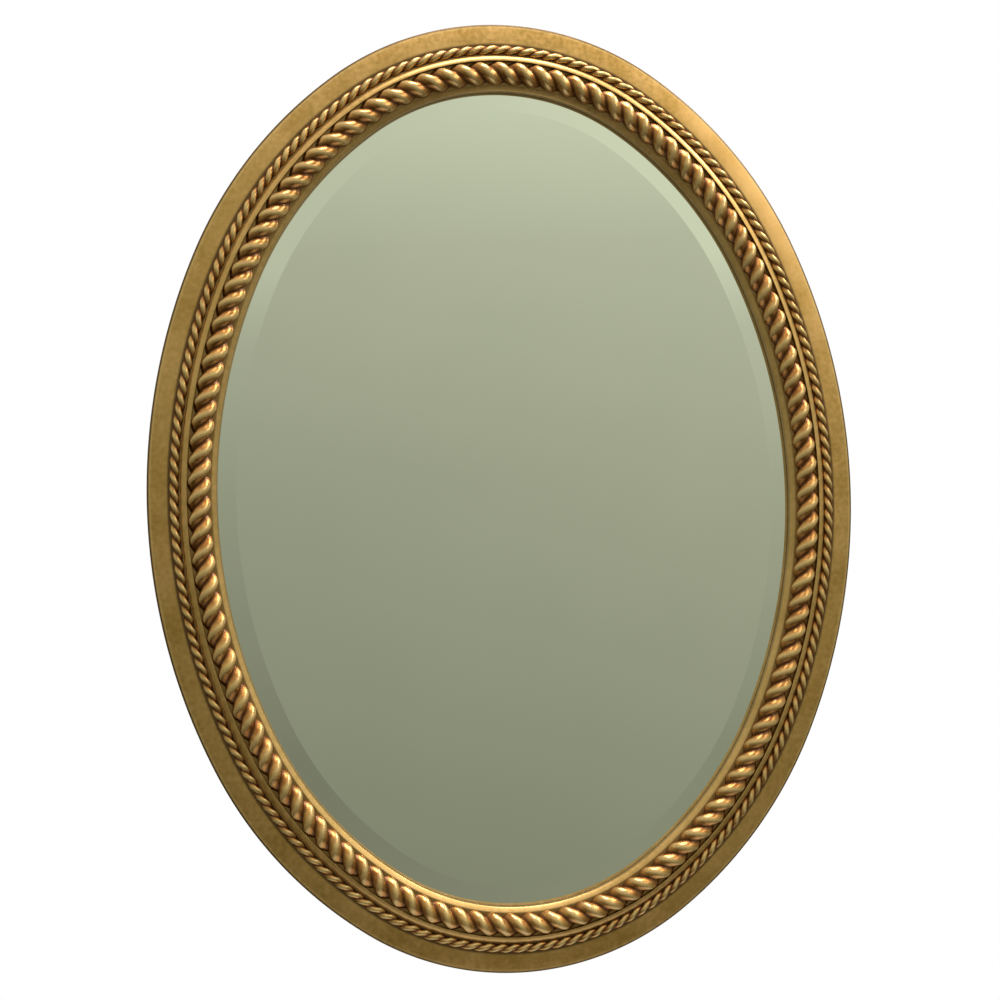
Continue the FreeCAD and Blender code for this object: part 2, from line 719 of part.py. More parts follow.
def check(doc, parts):
    """Stops on any feature that failed and on any piece that is empty or invalid."""
    failed = [item.Label for item in doc.Objects if {"Invalid", "Error"} & set(item.State)]
    bad = [part.Label for part in parts if part.Shape.isNull() or not part.Shape.isValid()]
    if failed or bad:
        raise RuntimeError(f"failed features: {failed}; bad shapes: {bad}")


def export(parts):
    os.makedirs("parts", exist_ok=True)
    for part in parts:
        part.Shape.exportStep(f"parts/{part.Label}.step")
        print(part.Label, len(part.Shape.Solids), round(part.Shape.Volume))


main()
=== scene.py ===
# %% [markdown]
# # An oval mirror with two rope mouldings
# The mirror is a gilded wooden oval with a fine and a large rope moulding, a bevelled plate and, behind,
# a thin board, two strap hangers with D-rings and two felt bumpers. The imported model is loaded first. It
# fixes every size, and each new piece is made in the same place as the one it stands for.

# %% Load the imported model
import math
from collections import namedtuple

import bpy
from mathutils import Matrix, Vector


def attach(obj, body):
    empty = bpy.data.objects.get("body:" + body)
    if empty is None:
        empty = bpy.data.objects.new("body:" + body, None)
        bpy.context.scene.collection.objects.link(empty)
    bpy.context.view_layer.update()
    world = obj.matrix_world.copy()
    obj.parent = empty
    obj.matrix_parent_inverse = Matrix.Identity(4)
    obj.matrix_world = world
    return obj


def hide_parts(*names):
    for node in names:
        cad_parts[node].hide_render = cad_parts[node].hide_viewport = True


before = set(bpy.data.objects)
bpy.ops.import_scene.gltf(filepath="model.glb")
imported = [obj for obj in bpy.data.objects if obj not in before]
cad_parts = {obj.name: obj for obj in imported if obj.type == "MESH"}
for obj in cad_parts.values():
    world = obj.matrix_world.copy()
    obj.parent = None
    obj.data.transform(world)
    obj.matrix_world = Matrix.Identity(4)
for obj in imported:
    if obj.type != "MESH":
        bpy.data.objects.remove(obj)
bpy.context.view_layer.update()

MM = 0.001

# %% [markdown]
# ## The oval
# The frame maker draws an oval as eight arcs that run smoothly into each other, because arcs can be
# turned, routed and copied at any distance from the edge. The end and side radii follow from the height
# and the width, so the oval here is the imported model's own.

# %% Eight arcs
HALF_HEIGHT, HALF_WIDTH = 470 * MM, 354 * MM
END_HALF, SIDE_HALF = math.radians(35.05), math.radians(24.45)
SHOULDER_HALF = (math.pi / 2 - END_HALF - SIDE_HALF) / 2
SHOULDER_RADIUS = 1.025 * math.sqrt(HALF_HEIGHT * HALF_WIDTH)
# The direction of an arc's middle and its half angle are in radians, and its radius is the outer one.
Arc = namedtuple("Arc", "name centre radius middle half")


def lay_out_oval():
    """The eight arcs, clockwise from the top."""
    lean_end, lean_side = 1 - math.cos(END_HALF), 1 - math.cos(SIDE_HALF)
    rise = HALF_HEIGHT + SHOULDER_RADIUS * (math.sin(SIDE_HALF) - math.cos(END_HALF))
    reach = HALF_WIDTH + SHOULDER_RADIUS * (math.sin(END_HALF) - math.cos(SIDE_HALF))
    closure = lean_end * lean_side - math.sin(SIDE_HALF) * math.sin(END_HALF)
    end = (rise * lean_side - math.sin(SIDE_HALF) * reach) / closure
    side = (lean_end * reach - math.sin(END_HALF) * rise) / closure
    across = -(SHOULDER_RADIUS - end) * math.sin(END_HALF)
    up = HALF_HEIGHT - end - (SHOULDER_RADIUS - end) * math.cos(END_HALF)
    slant = SIDE_HALF + SHOULDER_HALF
    quarter = math.pi / 2
    return [
        Arc("top", Vector((0, HALF_HEIGHT - end, 0)), end, quarter, END_HALF),
        Arc("upper_right", Vector((across, up, 0)), SHOULDER_RADIUS, slant, SHOULDER_HALF),
        Arc("right", Vector((HALF_WIDTH - side, 0, 0)), side, 0, SIDE_HALF),
        Arc("lower_right", Vector((across, -up, 0)), SHOULDER_RADIUS, -slant, SHOULDER_HALF),
        Arc("bottom", Vector((0, end - HALF_HEIGHT, 0)), end, -quarter, END_HALF),
        Arc("lower_left", Vector((-across, -up, 0)), SHOULDER_RADIUS, slant - math.pi, SHOULDER_HALF),
        Arc("left", Vector((side - HALF_WIDTH, 0, 0)), side, math.pi, SIDE_HALF),
        Arc("upper_left", Vector((-across, up, 0)), SHOULDER_RADIUS, math.pi - slant, SHOULDER_HALF),
    ]


ARCS = lay_out_oval()


def girth(inset):
    """The oval's length at a distance from its outer edge."""
    return sum((arc.radius - inset) * 2 * arc.half for arc in ARCS)


def pointing(direction):
    """The unit vector at an angle from +X, in the plane of the oval."""
    return Vector((math.cos(direction), math.sin(direction), 0))


def oval_path(name, inset):
    """The oval as a flat curve. It runs clockwise, and its path starts at the last point, the top."""
    # Each stop is the end of an arc: its centre, its radius, the direction, and the angle since the stop
    # before. The top arc has one more stop at its middle, so both of its halves count alone.
    stops = [(arc.centre, arc.radius - inset, arc.middle - arc.half, 2 * arc.half) for arc in ARCS]
    top_centre, top_radius, top_end, _ = stops[0]
    stops[0] = (top_centre, top_radius, top_end, END_HALF)
    stops.append((top_centre, top_radius, math.pi / 2, END_HALF))
    curve = bpy.data.curves.new(name, "CURVE")
    curve.dimensions = "2D"
    curve.resolution_u = 64
    spline = curve.splines.new("BEZIER")
    spline.bezier_points.add(len(stops) - 1)
    spline.use_cyclic_u = True
    for point, stop, following in zip(spline.bezier_points, stops, stops[1:] + stops[:1]):
        centre, radius, direction, before = stop
        _, next_radius, _, after = following
        onward = Vector((math.sin(direction), -math.cos(direction), 0))
        point.handle_left_type = point.handle_right_type = "FREE"
        point.co = centre + pointing(direction) * radius
        point.handle_left = point.co - onward * (4 / 3 * math.tan(before / 4) * radius)
        point.handle_right = point.co + onward * (4 / 3 * math.tan(after / 4) * next_radius)
    path = bpy.data.objects.new(name, curve)
    bpy.context.scene.collection.objects.link(path)
    return path


print("girth at the outer edge, mm:", round(girth(0) / MM, 1))

# %% [markdown]
# ## Colour and nodes
# Colours are picked as sRGB hex values, the way a screen shows them, and Cycles wants linear light, so
# one function turns them. One more function adds a node: a value that is a socket is linked, any other
# value is set. Inputs that share a name go by their number. On Mix, 0 is the amount, 2 and 3 are the two
# numbers and 6 and 7 the two colours. On Map Range, 1 and 2 are the range that comes in and 3 and 4 the
# one that goes out.

# %% Colour and node helpers


def paint(code):
    """An sRGB hex colour as linear red, green, blue and alpha."""
    parts = [int(code[place : place + 2], 16) / 255 for place in (1, 3, 5)]
    return (*[part / 12.92 if part <= 0.04045 else ((part + 0.055) / 1.055) ** 2.4 for part in parts], 1)


def add_node(tree, kind, settings):
    """Adds a shader node, and links or sets its inputs, by name or number, and its properties."""
    node = tree.nodes.new("ShaderNode" + kind)
    for key, value in settings.items():
        if isinstance(value, bpy.types.NodeSocket):
            tree.links.new(value, node.inputs[key])
        elif isinstance(key, str) and hasattr(node, key):
            setattr(node, key, value)
        else:
            node.inputs[key].default_value = value
    return node


def set_stops(node, stops):
    """Puts colours or grey values on a colour ramp, as pairs of place and value."""
    elements = node.color_ramp.elements
    while len(elements) < len(stops):
        elements.new(1)
    for element, (place, value) in zip(elements, stops):
        element.position = place
        element.color = value if isinstance(value, tuple) else (value, value, value, 1)


def new_finish(name):
    """An empty material with its principled shader; returns the material, its tree and the shader."""
    material = bpy.data.materials.new(name)
    material.use_nodes = True
    return material, material.node_tree, material.node_tree.nodes["Principled BSDF"]


print("middle grey on a screen, as linear light:", round(paint("#808080")[0], 3))

# %% [markdown]
# ## The frame's section
# The section is a list of corners, clockwise from the back of the outer edge: the edge, the flat band,
# the fine rope's seat, the rounded fillet, the large rope's channel, the slip down to the glass, the lip
# and the rebate. The finish needs to know where on it a point lies, so the distances round it are added up.

# %% Corners, and the distances between them
# Inset from the outer edge and height, in mm.
SECTION = [
    (0, 0), (0, 18), (20.5, 20), (31.5, 20), (31.7, 22.8), (33.0, 25.0), (35.2, 26.6), (38, 27.5),
    (38, 22), (61, 22), (66, 18.5), (66, 12.45), (58.5, 12.45), (58.5, 0),
]
ACROSS = [0.0]
for here, there in zip(SECTION, SECTION[1:] + SECTION[:1]):
    ACROSS.append(ACROSS[-1] + math.dist(here, there))
AROUND = ACROSS[-1]
print("corners along the section, mm:", [round(place, 1) for place in ACROSS])

# %% [markdown]
# ## Gilding
# The frame is oil or water gilt: gesso, then red-brown bole, then gold leaf 0.1 micron thick, then a
# brown toning wax. Leaf is real metal, so the shader is metallic, but it lies on a slightly uneven
# ground and is not burnished all over, which gives a soft sheen. Where hands and dusters rub, the bole
# shows through on the high edges; where the wax stays, the low corners are dark. On the ropes the dark
# grooves and the darker foot are also painted shade and the pale crests a painted highlight; on the frame
# a painted dark line of shade and a painted pale line of highlight follow the outer arris. The masks for
# all of them come from the pieces: a distance across the section on the frame, and a height above the
# groove on the ropes.

# %% Leaf, bole and wax
# Pale leaf, which on the rope crests and the outer arris is a painted highlight.
PALE_LEAF_AND_HIGHLIGHT = "#F2D79C"
WAX_ROUGH = 0.44


def gild(name, masks, leaf_dark, leaf_light, bole, wax_and_shade, rough):
    """A gilded finish; masks(tree) gives three shares: rubbed, dark from toning and painted shade, and paler
    leaf with painted highlight.
    """
    material, tree, shader = new_finish(name)
    place = add_node(tree, "TexCoord", {}).outputs["Object"]
    # Leaf takes the light in patches of a few centimetres, with finer clouding inside them and grit. Real
    # grit is too fine to show, so it is drawn at 1.1 mm.
    patch, cloud, grit = (
        add_node(tree, "TexNoise", {"Vector": place, "Scale": 1 / (size * MM), "Detail": detail}).outputs["Fac"]
        for size, detail in ((38, 3.0), (5, 5.0), (1.1, 4.0))
    )
    blend = add_node(tree, "Mix", {0: 0.45, 2: patch, 3: cloud})
    light_share = add_node(tree, "MapRange", {"Value": blend.outputs[0], 1: 0.36, 2: 0.64})
    rubbed, waxed_and_shaded, pale_and_highlight = masks(tree)
    # The rub is broken up by the same clouding, so that it comes and goes along an edge.
    broken = add_node(tree, "Math", {"operation": "MULTIPLY", 0: rubbed, 1: cloud})
    rub = add_node(tree, "MapRange", {"Value": broken.outputs[0], 1: 0.44, 2: 0.66, 4: 0.6})
    # The wax, and the painted shade that shares its mask, is a film that the grit makes uneven, and the leaf
    # itself has a few dark specks.
    speck = add_node(tree, "MapRange", {"Value": grit, 1: 0.66, 2: 0.74, 4: 0.55})
    wax_and_shade_film = add_node(tree, "Math", {"operation": "MULTIPLY_ADD", 0: grit, 1: 0.5, 2: 0.72})
    wax_and_shade_film = add_node(tree, "Math", {"operation": "MULTIPLY", 0: wax_and_shade_film.outputs[0], 1: waxed_and_shaded})
    dark = add_node(
        tree, "Math", {"operation": "MAXIMUM", "use_clamp": True, 0: wax_and_shade_film.outputs[0], 1: speck.outputs[0]}
    )
    # Each layer lies over the ones before it.
    colour = paint(leaf_dark)
    for amount, layer in (
        (light_share.outputs[0], leaf_light), (pale_and_highlight, PALE_LEAF_AND_HIGHLIGHT), (rub.outputs[0], bole), (dark.outputs[0], wax_and_shade)
    ):
        mixed = add_node(tree, "Mix", {"data_type": "RGBA", 0: amount, 6: colour, 7: paint(layer)})
        colour = mixed.outputs[2]
    # Bole, wax and painted shade cover the metal, and pale leaf and painted highlight are partly matt.
    cover = add_node(tree, "Math", {"operation": "MAXIMUM", 0: rub.outputs[0], 1: dark.outputs[0]})
    bare = add_node(tree, "MapRange", {"Value": cover.outputs[0], 3: 1.0, 4: 0.75})
    matt = add_node(tree, "MapRange", {"Value": pale_and_highlight, 3: 1.0, 4: 0.35})
    metal = add_node(tree, "Math", {"operation": "MINIMUM", 0: bare.outputs[0], 1: matt.outputs[0]})
    gloss = add_node(tree, "MapRange", {"Value": cloud, 1: 0.3, 2: 0.7, 3: rough - 0.06, 4: rough + 0.1})
    dull = add_node(tree, "Mix", {0: cover.outputs[0], 2: gloss.outputs[0], 3: WAX_ROUGH})
    # Gesso is never dead flat: a low wave from scraping and a fine tooth under the leaf.
    wave = add_node(tree, "Bump", {"Height": cloud, "Strength": 0.35, "Distance": 0.25 * MM})
    tooth = add_node(
        tree, "Bump", {"Height": grit, "Strength": 0.25, "Distance": 0.06 * MM, "Normal": wave.outputs[0]}
    )
    tree.links.new(colour, shader.inputs["Base Color"])
    for socket, source in (("Metallic", metal), ("Roughness", dull), ("Normal", tooth)):
        tree.links.new(source.outputs[0], shader.inputs[socket])
    # The toning shellac is clear and thin, and its own gleam is white where the leaf's is golden.
    shader.inputs["Coat Weight"].default_value = 0.4
    shader.inputs["Coat Roughness"].default_value = 0.2
    return material


# %% Where it is rubbed, waxed and pale, and where shade and highlight are painted


def frame_masks(tree):
    """Rub on three arrises, toning in the corners, painted shade and a painted highlight along the outer arris,
    and paler leaf on the fillet, by the place on the section.
    """
    run = add_node(tree, "UVMap", {"uv_map": "run"})
    across = add_node(tree, "SeparateXYZ", {"Vector": run.outputs[0]})
    share = add_node(tree, "Math", {"operation": "DIVIDE", 0: across.outputs["Y"], 1: AROUND * MM})
    outer, seat_in, seat_out, crest = ACROSS[1], ACROSS[2], ACROSS[3], ACROSS[7]
    channel_in, channel_out, sight, lip = ACROSS[8:12]
    rubbed = (
        (outer + 0.9, 0.0), (outer + 1.8, 0.7), (outer + 3.4, 0.0), (crest - 1.4, 0.0), (crest, 0.8),
        (crest + 1.2, 0.2), (sight - 1.2, 0.1), (sight, 0.75), (sight + 1, 0.2),
    )
    # The outer wall is toned with wax; the darkest stop, on the arris in front of it, is a painted line of
    # shade.
    waxed_and_shaded = (
        (0, 0.5), (outer - 3, 0.6), (outer + 0.2, 1.3), (outer + 1.4, 1.0), (outer + 2.0, 0.0),
        (seat_in - 2.2, 0.0), (seat_in - 0.2, 0.95), (seat_out - 1.2, 1.0), (seat_out + 0.2, 0.0),
        (crest, 0.0), (crest + 1.5, 0.6), (channel_in, 0.45), (channel_out, 0.6), (channel_out + 1.2, 0.1),
        (sight, 0.0), (lip - 2, 0.1), (lip, 0.7),
    )
    # The stop just inside the outer arris is a painted line of highlight; the fillet and the slip are pale
    # leaf.
    pale_and_highlight = (
        (outer + 2.0, 0.0), (outer + 2.6, 0.5), (outer + 4.0, 0.0), (seat_out - 0.4, 0.0),
        (seat_out + 0.4, 0.11), (crest + 0.6, 0.11), (crest + 1.4, 0.0), (channel_out, 0.0),
        (channel_out + 1.0, 0.2), (sight, 0.2), (sight + 1, 0.0),
    )
    masks = []
    for stops in (rubbed, waxed_and_shaded, pale_and_highlight):
        ramp = add_node(tree, "ValToRGB", {0: share.outputs[0]})
        set_stops(ramp, [(place / AROUND, value) for place, value in stops])
        masks.append(ramp.outputs[0])
    return masks


def rope_masks(full, gone, palest_highlight):
    """Rub and a painted highlight of paler leaf on the crests, and toning with painted shade in the grooves and
    at the foot, full and gone at two shares of the height.
    """

    def masks(tree):
        crest = add_node(tree, "Attribute", {"attribute_name": "crest"}).outputs["Fac"]
        rubbed = add_node(tree, "MapRange", {"Value": crest, 1: 0.6, 2: 1.0, 4: 0.4})
        # Dark in the grooves and at the foot: wax, and painted shade.
        waxed_and_shaded = add_node(tree, "MapRange", {"Value": crest, 1: full, 2: gone, 3: 1.15, 4: 0.0})
        # The pale crests are a painted highlight.
        pale_and_highlight = add_node(tree, "MapRange", {"Value": crest, 1: 0.7, 2: 1.0, 4: palest_highlight})
        return rubbed.outputs[0], waxed_and_shaded.outputs[0], pale_and_highlight.outputs[0]

    return masks


# Water-gilt gesso on the wood, hardly burnished: a satin, mottled gold that goes brown in the corners.
gilt_wood = gild(
    "Gilt_leaf_over_bole_on_gesso", frame_masks, "#C09650", "#DEB272", "#94572F", "#5C3E1E", 0.38
)
# Cast composition takes bole more thickly and was rubbed: a redder gold, with a painted cream highlight on the
# crests.
gilt_large_rope = gild(
    "Gilt_cast_composition_large_rope", rope_masks(0.12, 0.58, 0.6),
    "#A8692C", "#DEA862", "#96562C", "#70400E", 0.24,
)
# The fine rope is the same casting in small: its beads carry a pale painted highlight and its grooves warm
# brown wax with painted shade.
gilt_fine_rope = gild(
    "Gilt_cast_composition_fine_rope", rope_masks(0.14, 0.56, 0.65),
    "#B6803E", "#E2B472", "#9A5C32", "#6A3A0C", 0.25,
)
print("gilded finishes:", gilt_wood.name, gilt_large_rope.name, gilt_fine_rope.name)

# %% [markdown]
# ## Bare wood and plywood
# The back is not gilded. Its segments are sawn from planks, so the grain runs straight along each one:
# each piece carries a second UV map, in metres, laid along its own length. The board and the small blocks
# have their grain upright, so they take their places from the piece, turned to lie along it.

# %% Woods


def wood(name, early, late, ring, along):
    """Straight-grained wood with rings of a width in mm; along(tree) gives places with X along the grain."""
    material, tree, shader = new_finish(name)
    # Both patterns are long along the grain. Fibres are too fine to show, so they are drawn at 0.5 mm.
    stretched = add_node(tree, "Mapping", {"Vector": along(tree), "Scale": (0.08, 1, 1)})
    rings, fibre = (
        add_node(tree, "TexNoise", {"Vector": stretched.outputs[0], "Scale": 1 / (size * MM), "Detail": detail})
        for size, detail in ((ring, 3.0), (0.5, 2.0))
    )
    grain = add_node(tree, "Mix", {0: 0.35, 2: rings.outputs["Fac"], 3: fibre.outputs["Fac"]})
    amount = add_node(tree, "MapRange", {"Value": grain.outputs[0], 1: 0.35, 2: 0.65})
    colour = add_node(
        tree, "Mix", {"data_type": "RGBA", 0: amount.outputs[0], 6: paint(early), 7: paint(late)}
    )
    bump = add_node(tree, "Bump", {"Height": grain.outputs[0], "Strength": 0.3, "Distance": 0.15 * MM})
    tree.links.new(colour.outputs[2], shader.inputs["Base Color"])
    tree.links.new(bump.outputs[0], shader.inputs["Normal"])
    shader.inputs["Roughness"].default_value = 0.72
    return material


def along_segment(tree):
    return add_node(tree, "UVMap", {"uv_map": "grain"}).outputs[0]


def along_height(tree):
    place = add_node(tree, "TexCoord", {}).outputs["Object"]
    return add_node(tree, "Mapping", {"Vector": place, "Rotation": (0, math.pi / 2, 0)}).outputs[0]


# Sawn and planed limewood, oiled by age: soft even brown with long faint streaks and no gloss.
bare_wood = wood("Limewood_sawn_and_planed", "#B98E5E", "#8E6238", 4, along_segment)
# Pine offcuts: yellower, with a plain stripe of late wood.
block_wood = wood("Pine_glue_blocks", "#C9A26C", "#A87C48", 3, along_height)
# Rotary-cut birch: a broad cloudy figure, because the knife goes round the log.
plywood = wood("Birch_plywood", "#C6A67A", "#A98456", 9, along_height)
print("woods:", bare_wood.name, block_wood.name, plywood.name)

# %% The edge of the plywood
STANDOFF, BOARD_THICK = 6 * MM, 4 * MM
LONG_PLY, END_PLY = paint("#D2B588"), paint("#8A6840")


def ply_edge():
    """The edge of plywood: five 0.8 mm plies, long grain and end grain in turn."""
    material, tree, shader = new_finish("Birch_plywood_edge")
    place = add_node(tree, "TexCoord", {}).outputs["Object"]
    depth = add_node(tree, "SeparateXYZ", {"Vector": place})
    layer = add_node(
        tree, "MapRange", {"Value": depth.outputs["Y"], 1: -STANDOFF, 2: BOARD_THICK - STANDOFF}
    )
    stripe = add_node(tree, "ValToRGB", {0: layer.outputs[0]})
    stripe.color_ramp.interpolation = "CONSTANT"
    set_stops(stripe, [(ply / 5, END_PLY if ply % 2 else LONG_PLY) for ply in range(5)])
    # The saw's torn fibres are too fine to show, so they are drawn at 0.6 mm.
    fibre = add_node(tree, "TexNoise", {"Vector": place, "Scale": 1 / (0.6 * MM), "Detail": 3.0})
    dust = add_node(
        tree, "Mix",
        {
            "data_type": "RGBA", "blend_type": "MULTIPLY", 0: 0.5,
            6: stripe.outputs[0], 7: fibre.outputs["Color"],
        },
    )
    bump = add_node(tree, "Bump", {"Height": fibre.outputs["Fac"], "Strength": 0.4, "Distance": 0.1 * MM})
    tree.links.new(dust.outputs[2], shader.inputs["Base Color"])
    tree.links.new(bump.outputs[0], shader.inputs["Normal"])
    shader.inputs["Roughness"].default_value = 0.8
    return material


# Sawn plywood edge: light and dark stripes, rough and dusty.
plies = ply_edge()
print("edge:", plies.name)

# %% [markdown]
# ## Glass, metal and felt
# The plate is silvered glass. A mirror sends back almost all light, so it is a smooth metal with a trace
# of the glass's green. The screws and the hangers are real metals with fine scratches, and felt is matt
# with a faint rim of light. All of them start from a colour that wanders a little between two tones.

# %% Two tones, and the plate's finishes


def two_tones(name, size, detail, dark, light, distortion=0.0):
    """A finish in two tones, in blotches of a size in mm; also returns its tree, shader and blotches."""
    material, tree, shader = new_finish(name)
    place = add_node(tree, "TexCoord", {}).outputs["Object"]
    noise = {"Vector": place, "Scale": 1 / (size * MM), "Detail": detail, "Distortion": distortion}
    blotch = add_node(tree, "TexNoise", noise).outputs["Fac"]
    tint = add_node(tree, "Mix", {"data_type": "RGBA", 0: blotch, 6: paint(dark), 7: paint(light)})
    tree.links.new(tint.outputs[2], shader.inputs["Base Color"])
    return material, tree, shader, blotch


# Polished glass over silver shows the room and has no colour of its own but a trace of green.
silver, _, shader, _ = two_tones("Silvered_plate_glass", 120, 2.0, "#EDF1EA", "#F4F6F1")
shader.inputs["Metallic"].default_value = 1
shader.inputs["Roughness"].default_value = 0.015
# Rolled alkyd paint behind the silver: dead grey with a low orange-peel tone.
grey_paint, _, shader, _ = two_tones("Grey_backing_paint", 2, 3.0, "#5E6261", "#6A6E6C")
shader.inputs["Roughness"].default_value = 0.6
print("plate's finishes:", silver.name, grey_paint.name)

# %% Worked metal and felt


def worked_metal(name, dark, light, rough):
    """Small stamped or turned metal: fine scratches and a little tarnish."""
    material, tree, shader, _ = two_tones(name, 3, 5.0, dark, light)
    place = add_node(tree, "TexCoord", {}).outputs["Object"]
    # Real scratches are too fine to show, so they are drawn 0.3 mm wide, and long upwards.
    drawn = add_node(tree, "Mapping", {"Vector": place, "Scale": (1, 1, 0.06)})
    noise = {"Vector": drawn.outputs[0], "Scale": 1 / (0.3 * MM), "Detail": 2.0}
    scratch = add_node(tree, "TexNoise", noise).outputs["Fac"]
    gloss = add_node(tree, "MapRange", {"Value": scratch, 1: 0.3, 2: 0.7, 3: rough - 0.08, 4: rough + 0.08})
    bump = add_node(tree, "Bump", {"Height": scratch, "Strength": 0.2, "Distance": 0.02 * MM})
    tree.links.new(gloss.outputs[0], shader.inputs["Roughness"])
    tree.links.new(bump.outputs[0], shader.inputs["Normal"])
    shader.inputs["Metallic"].default_value = 1
    return material


# Nickel on stamped steel: warm grey, half bright, with fine scratches from the press.
nickel = worked_metal("Nickel_plated_steel", "#9C9890", "#C2BEB6", 0.3)
# Turned brass, left bare: yellow, brown in the slots.
brass = worked_metal("Turned_brass", "#9A7638", "#C6A05A", 0.34)
# Pressed wool, matted fibres: near-black, no gloss, and a faint light rim from the loose ones. The fibres
# are too fine to show, so their clumps are drawn at 0.8 mm.
felt, tree, shader, matted = two_tones("Pressed_wool_felt", 0.8, 6.0, "#2E2C29", "#55514A", 1.5)
nap = add_node(tree, "Bump", {"Height": matted, "Strength": 0.8, "Distance": 0.3 * MM})
tree.links.new(nap.outputs[0], shader.inputs["Normal"])
shader.inputs["Roughness"].default_value = 0.95
shader.inputs["Sheen Weight"].default_value = 0.4
print("small parts' finishes:", nickel.name, brass.name, felt.name)

# %% [markdown]
# ## Small tools
# Every operator of Blender acts on what is selected, so each piece starts with everything deselected.
# Pieces are drawn lying down, with X and Y in the plane of the oval and Z towards the viewer, because
# curves and the spin tool are easiest there. `hang_up` then turns a piece upright and makes its place
# part of its mesh.

# %% Selecting and editing


def select_only(piece):
    bpy.ops.object.select_all(action="DESELECT")
    piece.select_set(True)
    bpy.context.view_layer.objects.active = piece


def pick_all():
    bpy.ops.mesh.select_all(action="SELECT")


def edit(piece):
    """Opens edit mode with everything selected."""
    select_only(piece)
    bpy.ops.object.mode_set(mode="EDIT")
    pick_all()


def leave_edit():
    bpy.ops.object.mode_set(mode="OBJECT")


def face_outwards():
    """Turns all faces of the piece in edit mode outwards, and leaves edit mode."""
    pick_all()
    bpy.ops.mesh.normals_make_consistent(inside=False)
    leave_edit()


def pick_points(piece, wanted):
    """Selects the points that a test picks; edit mode is open before and after."""
    leave_edit()
    for part in (piece.data.polygons, piece.data.edges):
        for item in part:
            item.select = False
    for point in piece.data.vertices:
        point.select = wanted(point.co)
    bpy.ops.object.mode_set(mode="EDIT")
    bpy.ops.mesh.select_mode(type="VERT")


# %% Placing, shading, tracing and dressing


def settle(piece, turn=Matrix.Identity(4)):
    """Moves a piece by a matrix and makes its place and its modifiers part of the mesh."""
    select_only(piece)
    for modifier in list(piece.modifiers):
        bpy.ops.object.modifier_apply(modifier=modifier.name)
    piece.matrix_world = turn @ piece.matrix_world
    bpy.ops.object.transform_apply(location=True, rotation=True, scale=True)


def hang_up(piece):
    """Turns a piece that was drawn lying down upright, with its back at the frame's back."""
    settle(piece, Matrix.Translation((0, -STANDOFF, 0)) @ Matrix.Rotation(math.pi / 2, 4, "X"))


def smooth(piece, degrees):
    """Shades a piece smooth, apart from edges sharper than an angle."""
    select_only(piece)
    bpy.ops.object.shade_smooth_by_angle(angle=math.radians(degrees))


def trace(name, corners):
    """Draws a line by extruding one point from corner to corner, as with E in edit mode."""
    bpy.ops.object.select_all(action="DESELECT")
    bpy.ops.mesh.primitive_plane_add(size=MM, location=corners[0])
    piece = bpy.context.object
    piece.name = piece.data.name = name
    settle(piece)
    edit(piece)
    bpy.ops.mesh.merge(type="CENTER")
    for here, there in zip(corners, corners[1:]):
        step = Vector(there) - Vector(here)
        bpy.ops.mesh.extrude_region_move(TRANSFORM_OT_translate={"value": step})
    leave_edit()
    return piece


def dress(piece, body, slot, *materials):
    """Gives a piece its body and its materials; the slot is not used."""
    piece.data.materials.clear()
    for material in materials:
        piece.data.materials.append(material)
    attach(piece, body)


# %% [markdown]
# ## The frame's eight segments
# A frame maker runs the moulding's section round the oval with a router, one length of timber after
# another. The spin tool is the same motion: the section is drawn once by extruding a point from corner to
# corner, its front edges are softened as gesso softens them, and it is spun about the centre of each arc.

# %% Maps for the leaf and the grain
NEAR = 0.01 * MM  # points closer than this are one point


def across_section(inset, height):
    """The distance round the section, in mm, of its point that lies nearest to a place."""
    spot = Vector((inset, height))
    best = (math.inf, 0.0)
    for index, (here, there) in enumerate(zip(SECTION, SECTION[1:] + SECTION[:1])):
        start, side = Vector(here), Vector(there) - Vector(here)
        share = min(max((spot - start).dot(side) / side.length_squared, 0), 1)
        gap = (start + side * share - spot).length
        best = min(best, (gap, ACROSS[index] + share * side.length))
    return best[1]


def segment_maps(piece, radius, before, half):
    """Two UV maps in metres: along and across the moulding, and along and across the plank."""
    run = piece.data.uv_layers.new(name="run")
    grain = piece.data.uv_layers.new(name="grain")
    across = {}
    for point in piece.data.vertices:
        reach = math.hypot(point.co.x, point.co.y)
        across[point.index] = across_section((radius - reach) / MM, point.co.z / MM)
    for face in piece.data.polygons:
        places = [across[index] for index in face.vertices]
        # The outline closes at the back corner, where 0 and the full length meet: it is 0 on the outer
        # wall and the full length on the back.
        closing = max(places) - min(places) > AROUND / 2
        ending = face.center.z < NEAR
        for loop, place in zip(face.loop_indices, places):
            spot = piece.data.vertices[piece.data.loops[loop].vertex_index].co
            turn = -math.atan2(spot.y, spot.x)
            if closing and (place < AROUND / 2) == ending:
                place += AROUND if ending else -AROUND
            run.data[loop].uv = (before + turn * radius, place * MM)
            lean = turn - half
            reach = math.hypot(spot.x, spot.y)
            grain.data[loop].uv = (before + reach * math.sin(lean), reach * math.cos(lean) + spot.z)


print("top of the fillet along the section, mm:", round(across_section(*SECTION[7]), 1))

# %% Spin the segments
DEGREES_PER_STEP = 1.0
LEAF_ENDS = ACROSS[11] * MM
# How far the gesso rounds each front corner, in mm.
ARRISES = {
    (0, 18): 1.6, (20.5, 20): 0.8, (31.7, 22.8): 0.7, (33.0, 25.0): 0.9, (35.2, 26.6): 0.9, (38, 27.5): 0.7,
    (61, 22): 0.6, (66, 18.5): 1.1, (66, 12.45): 0.4,
}


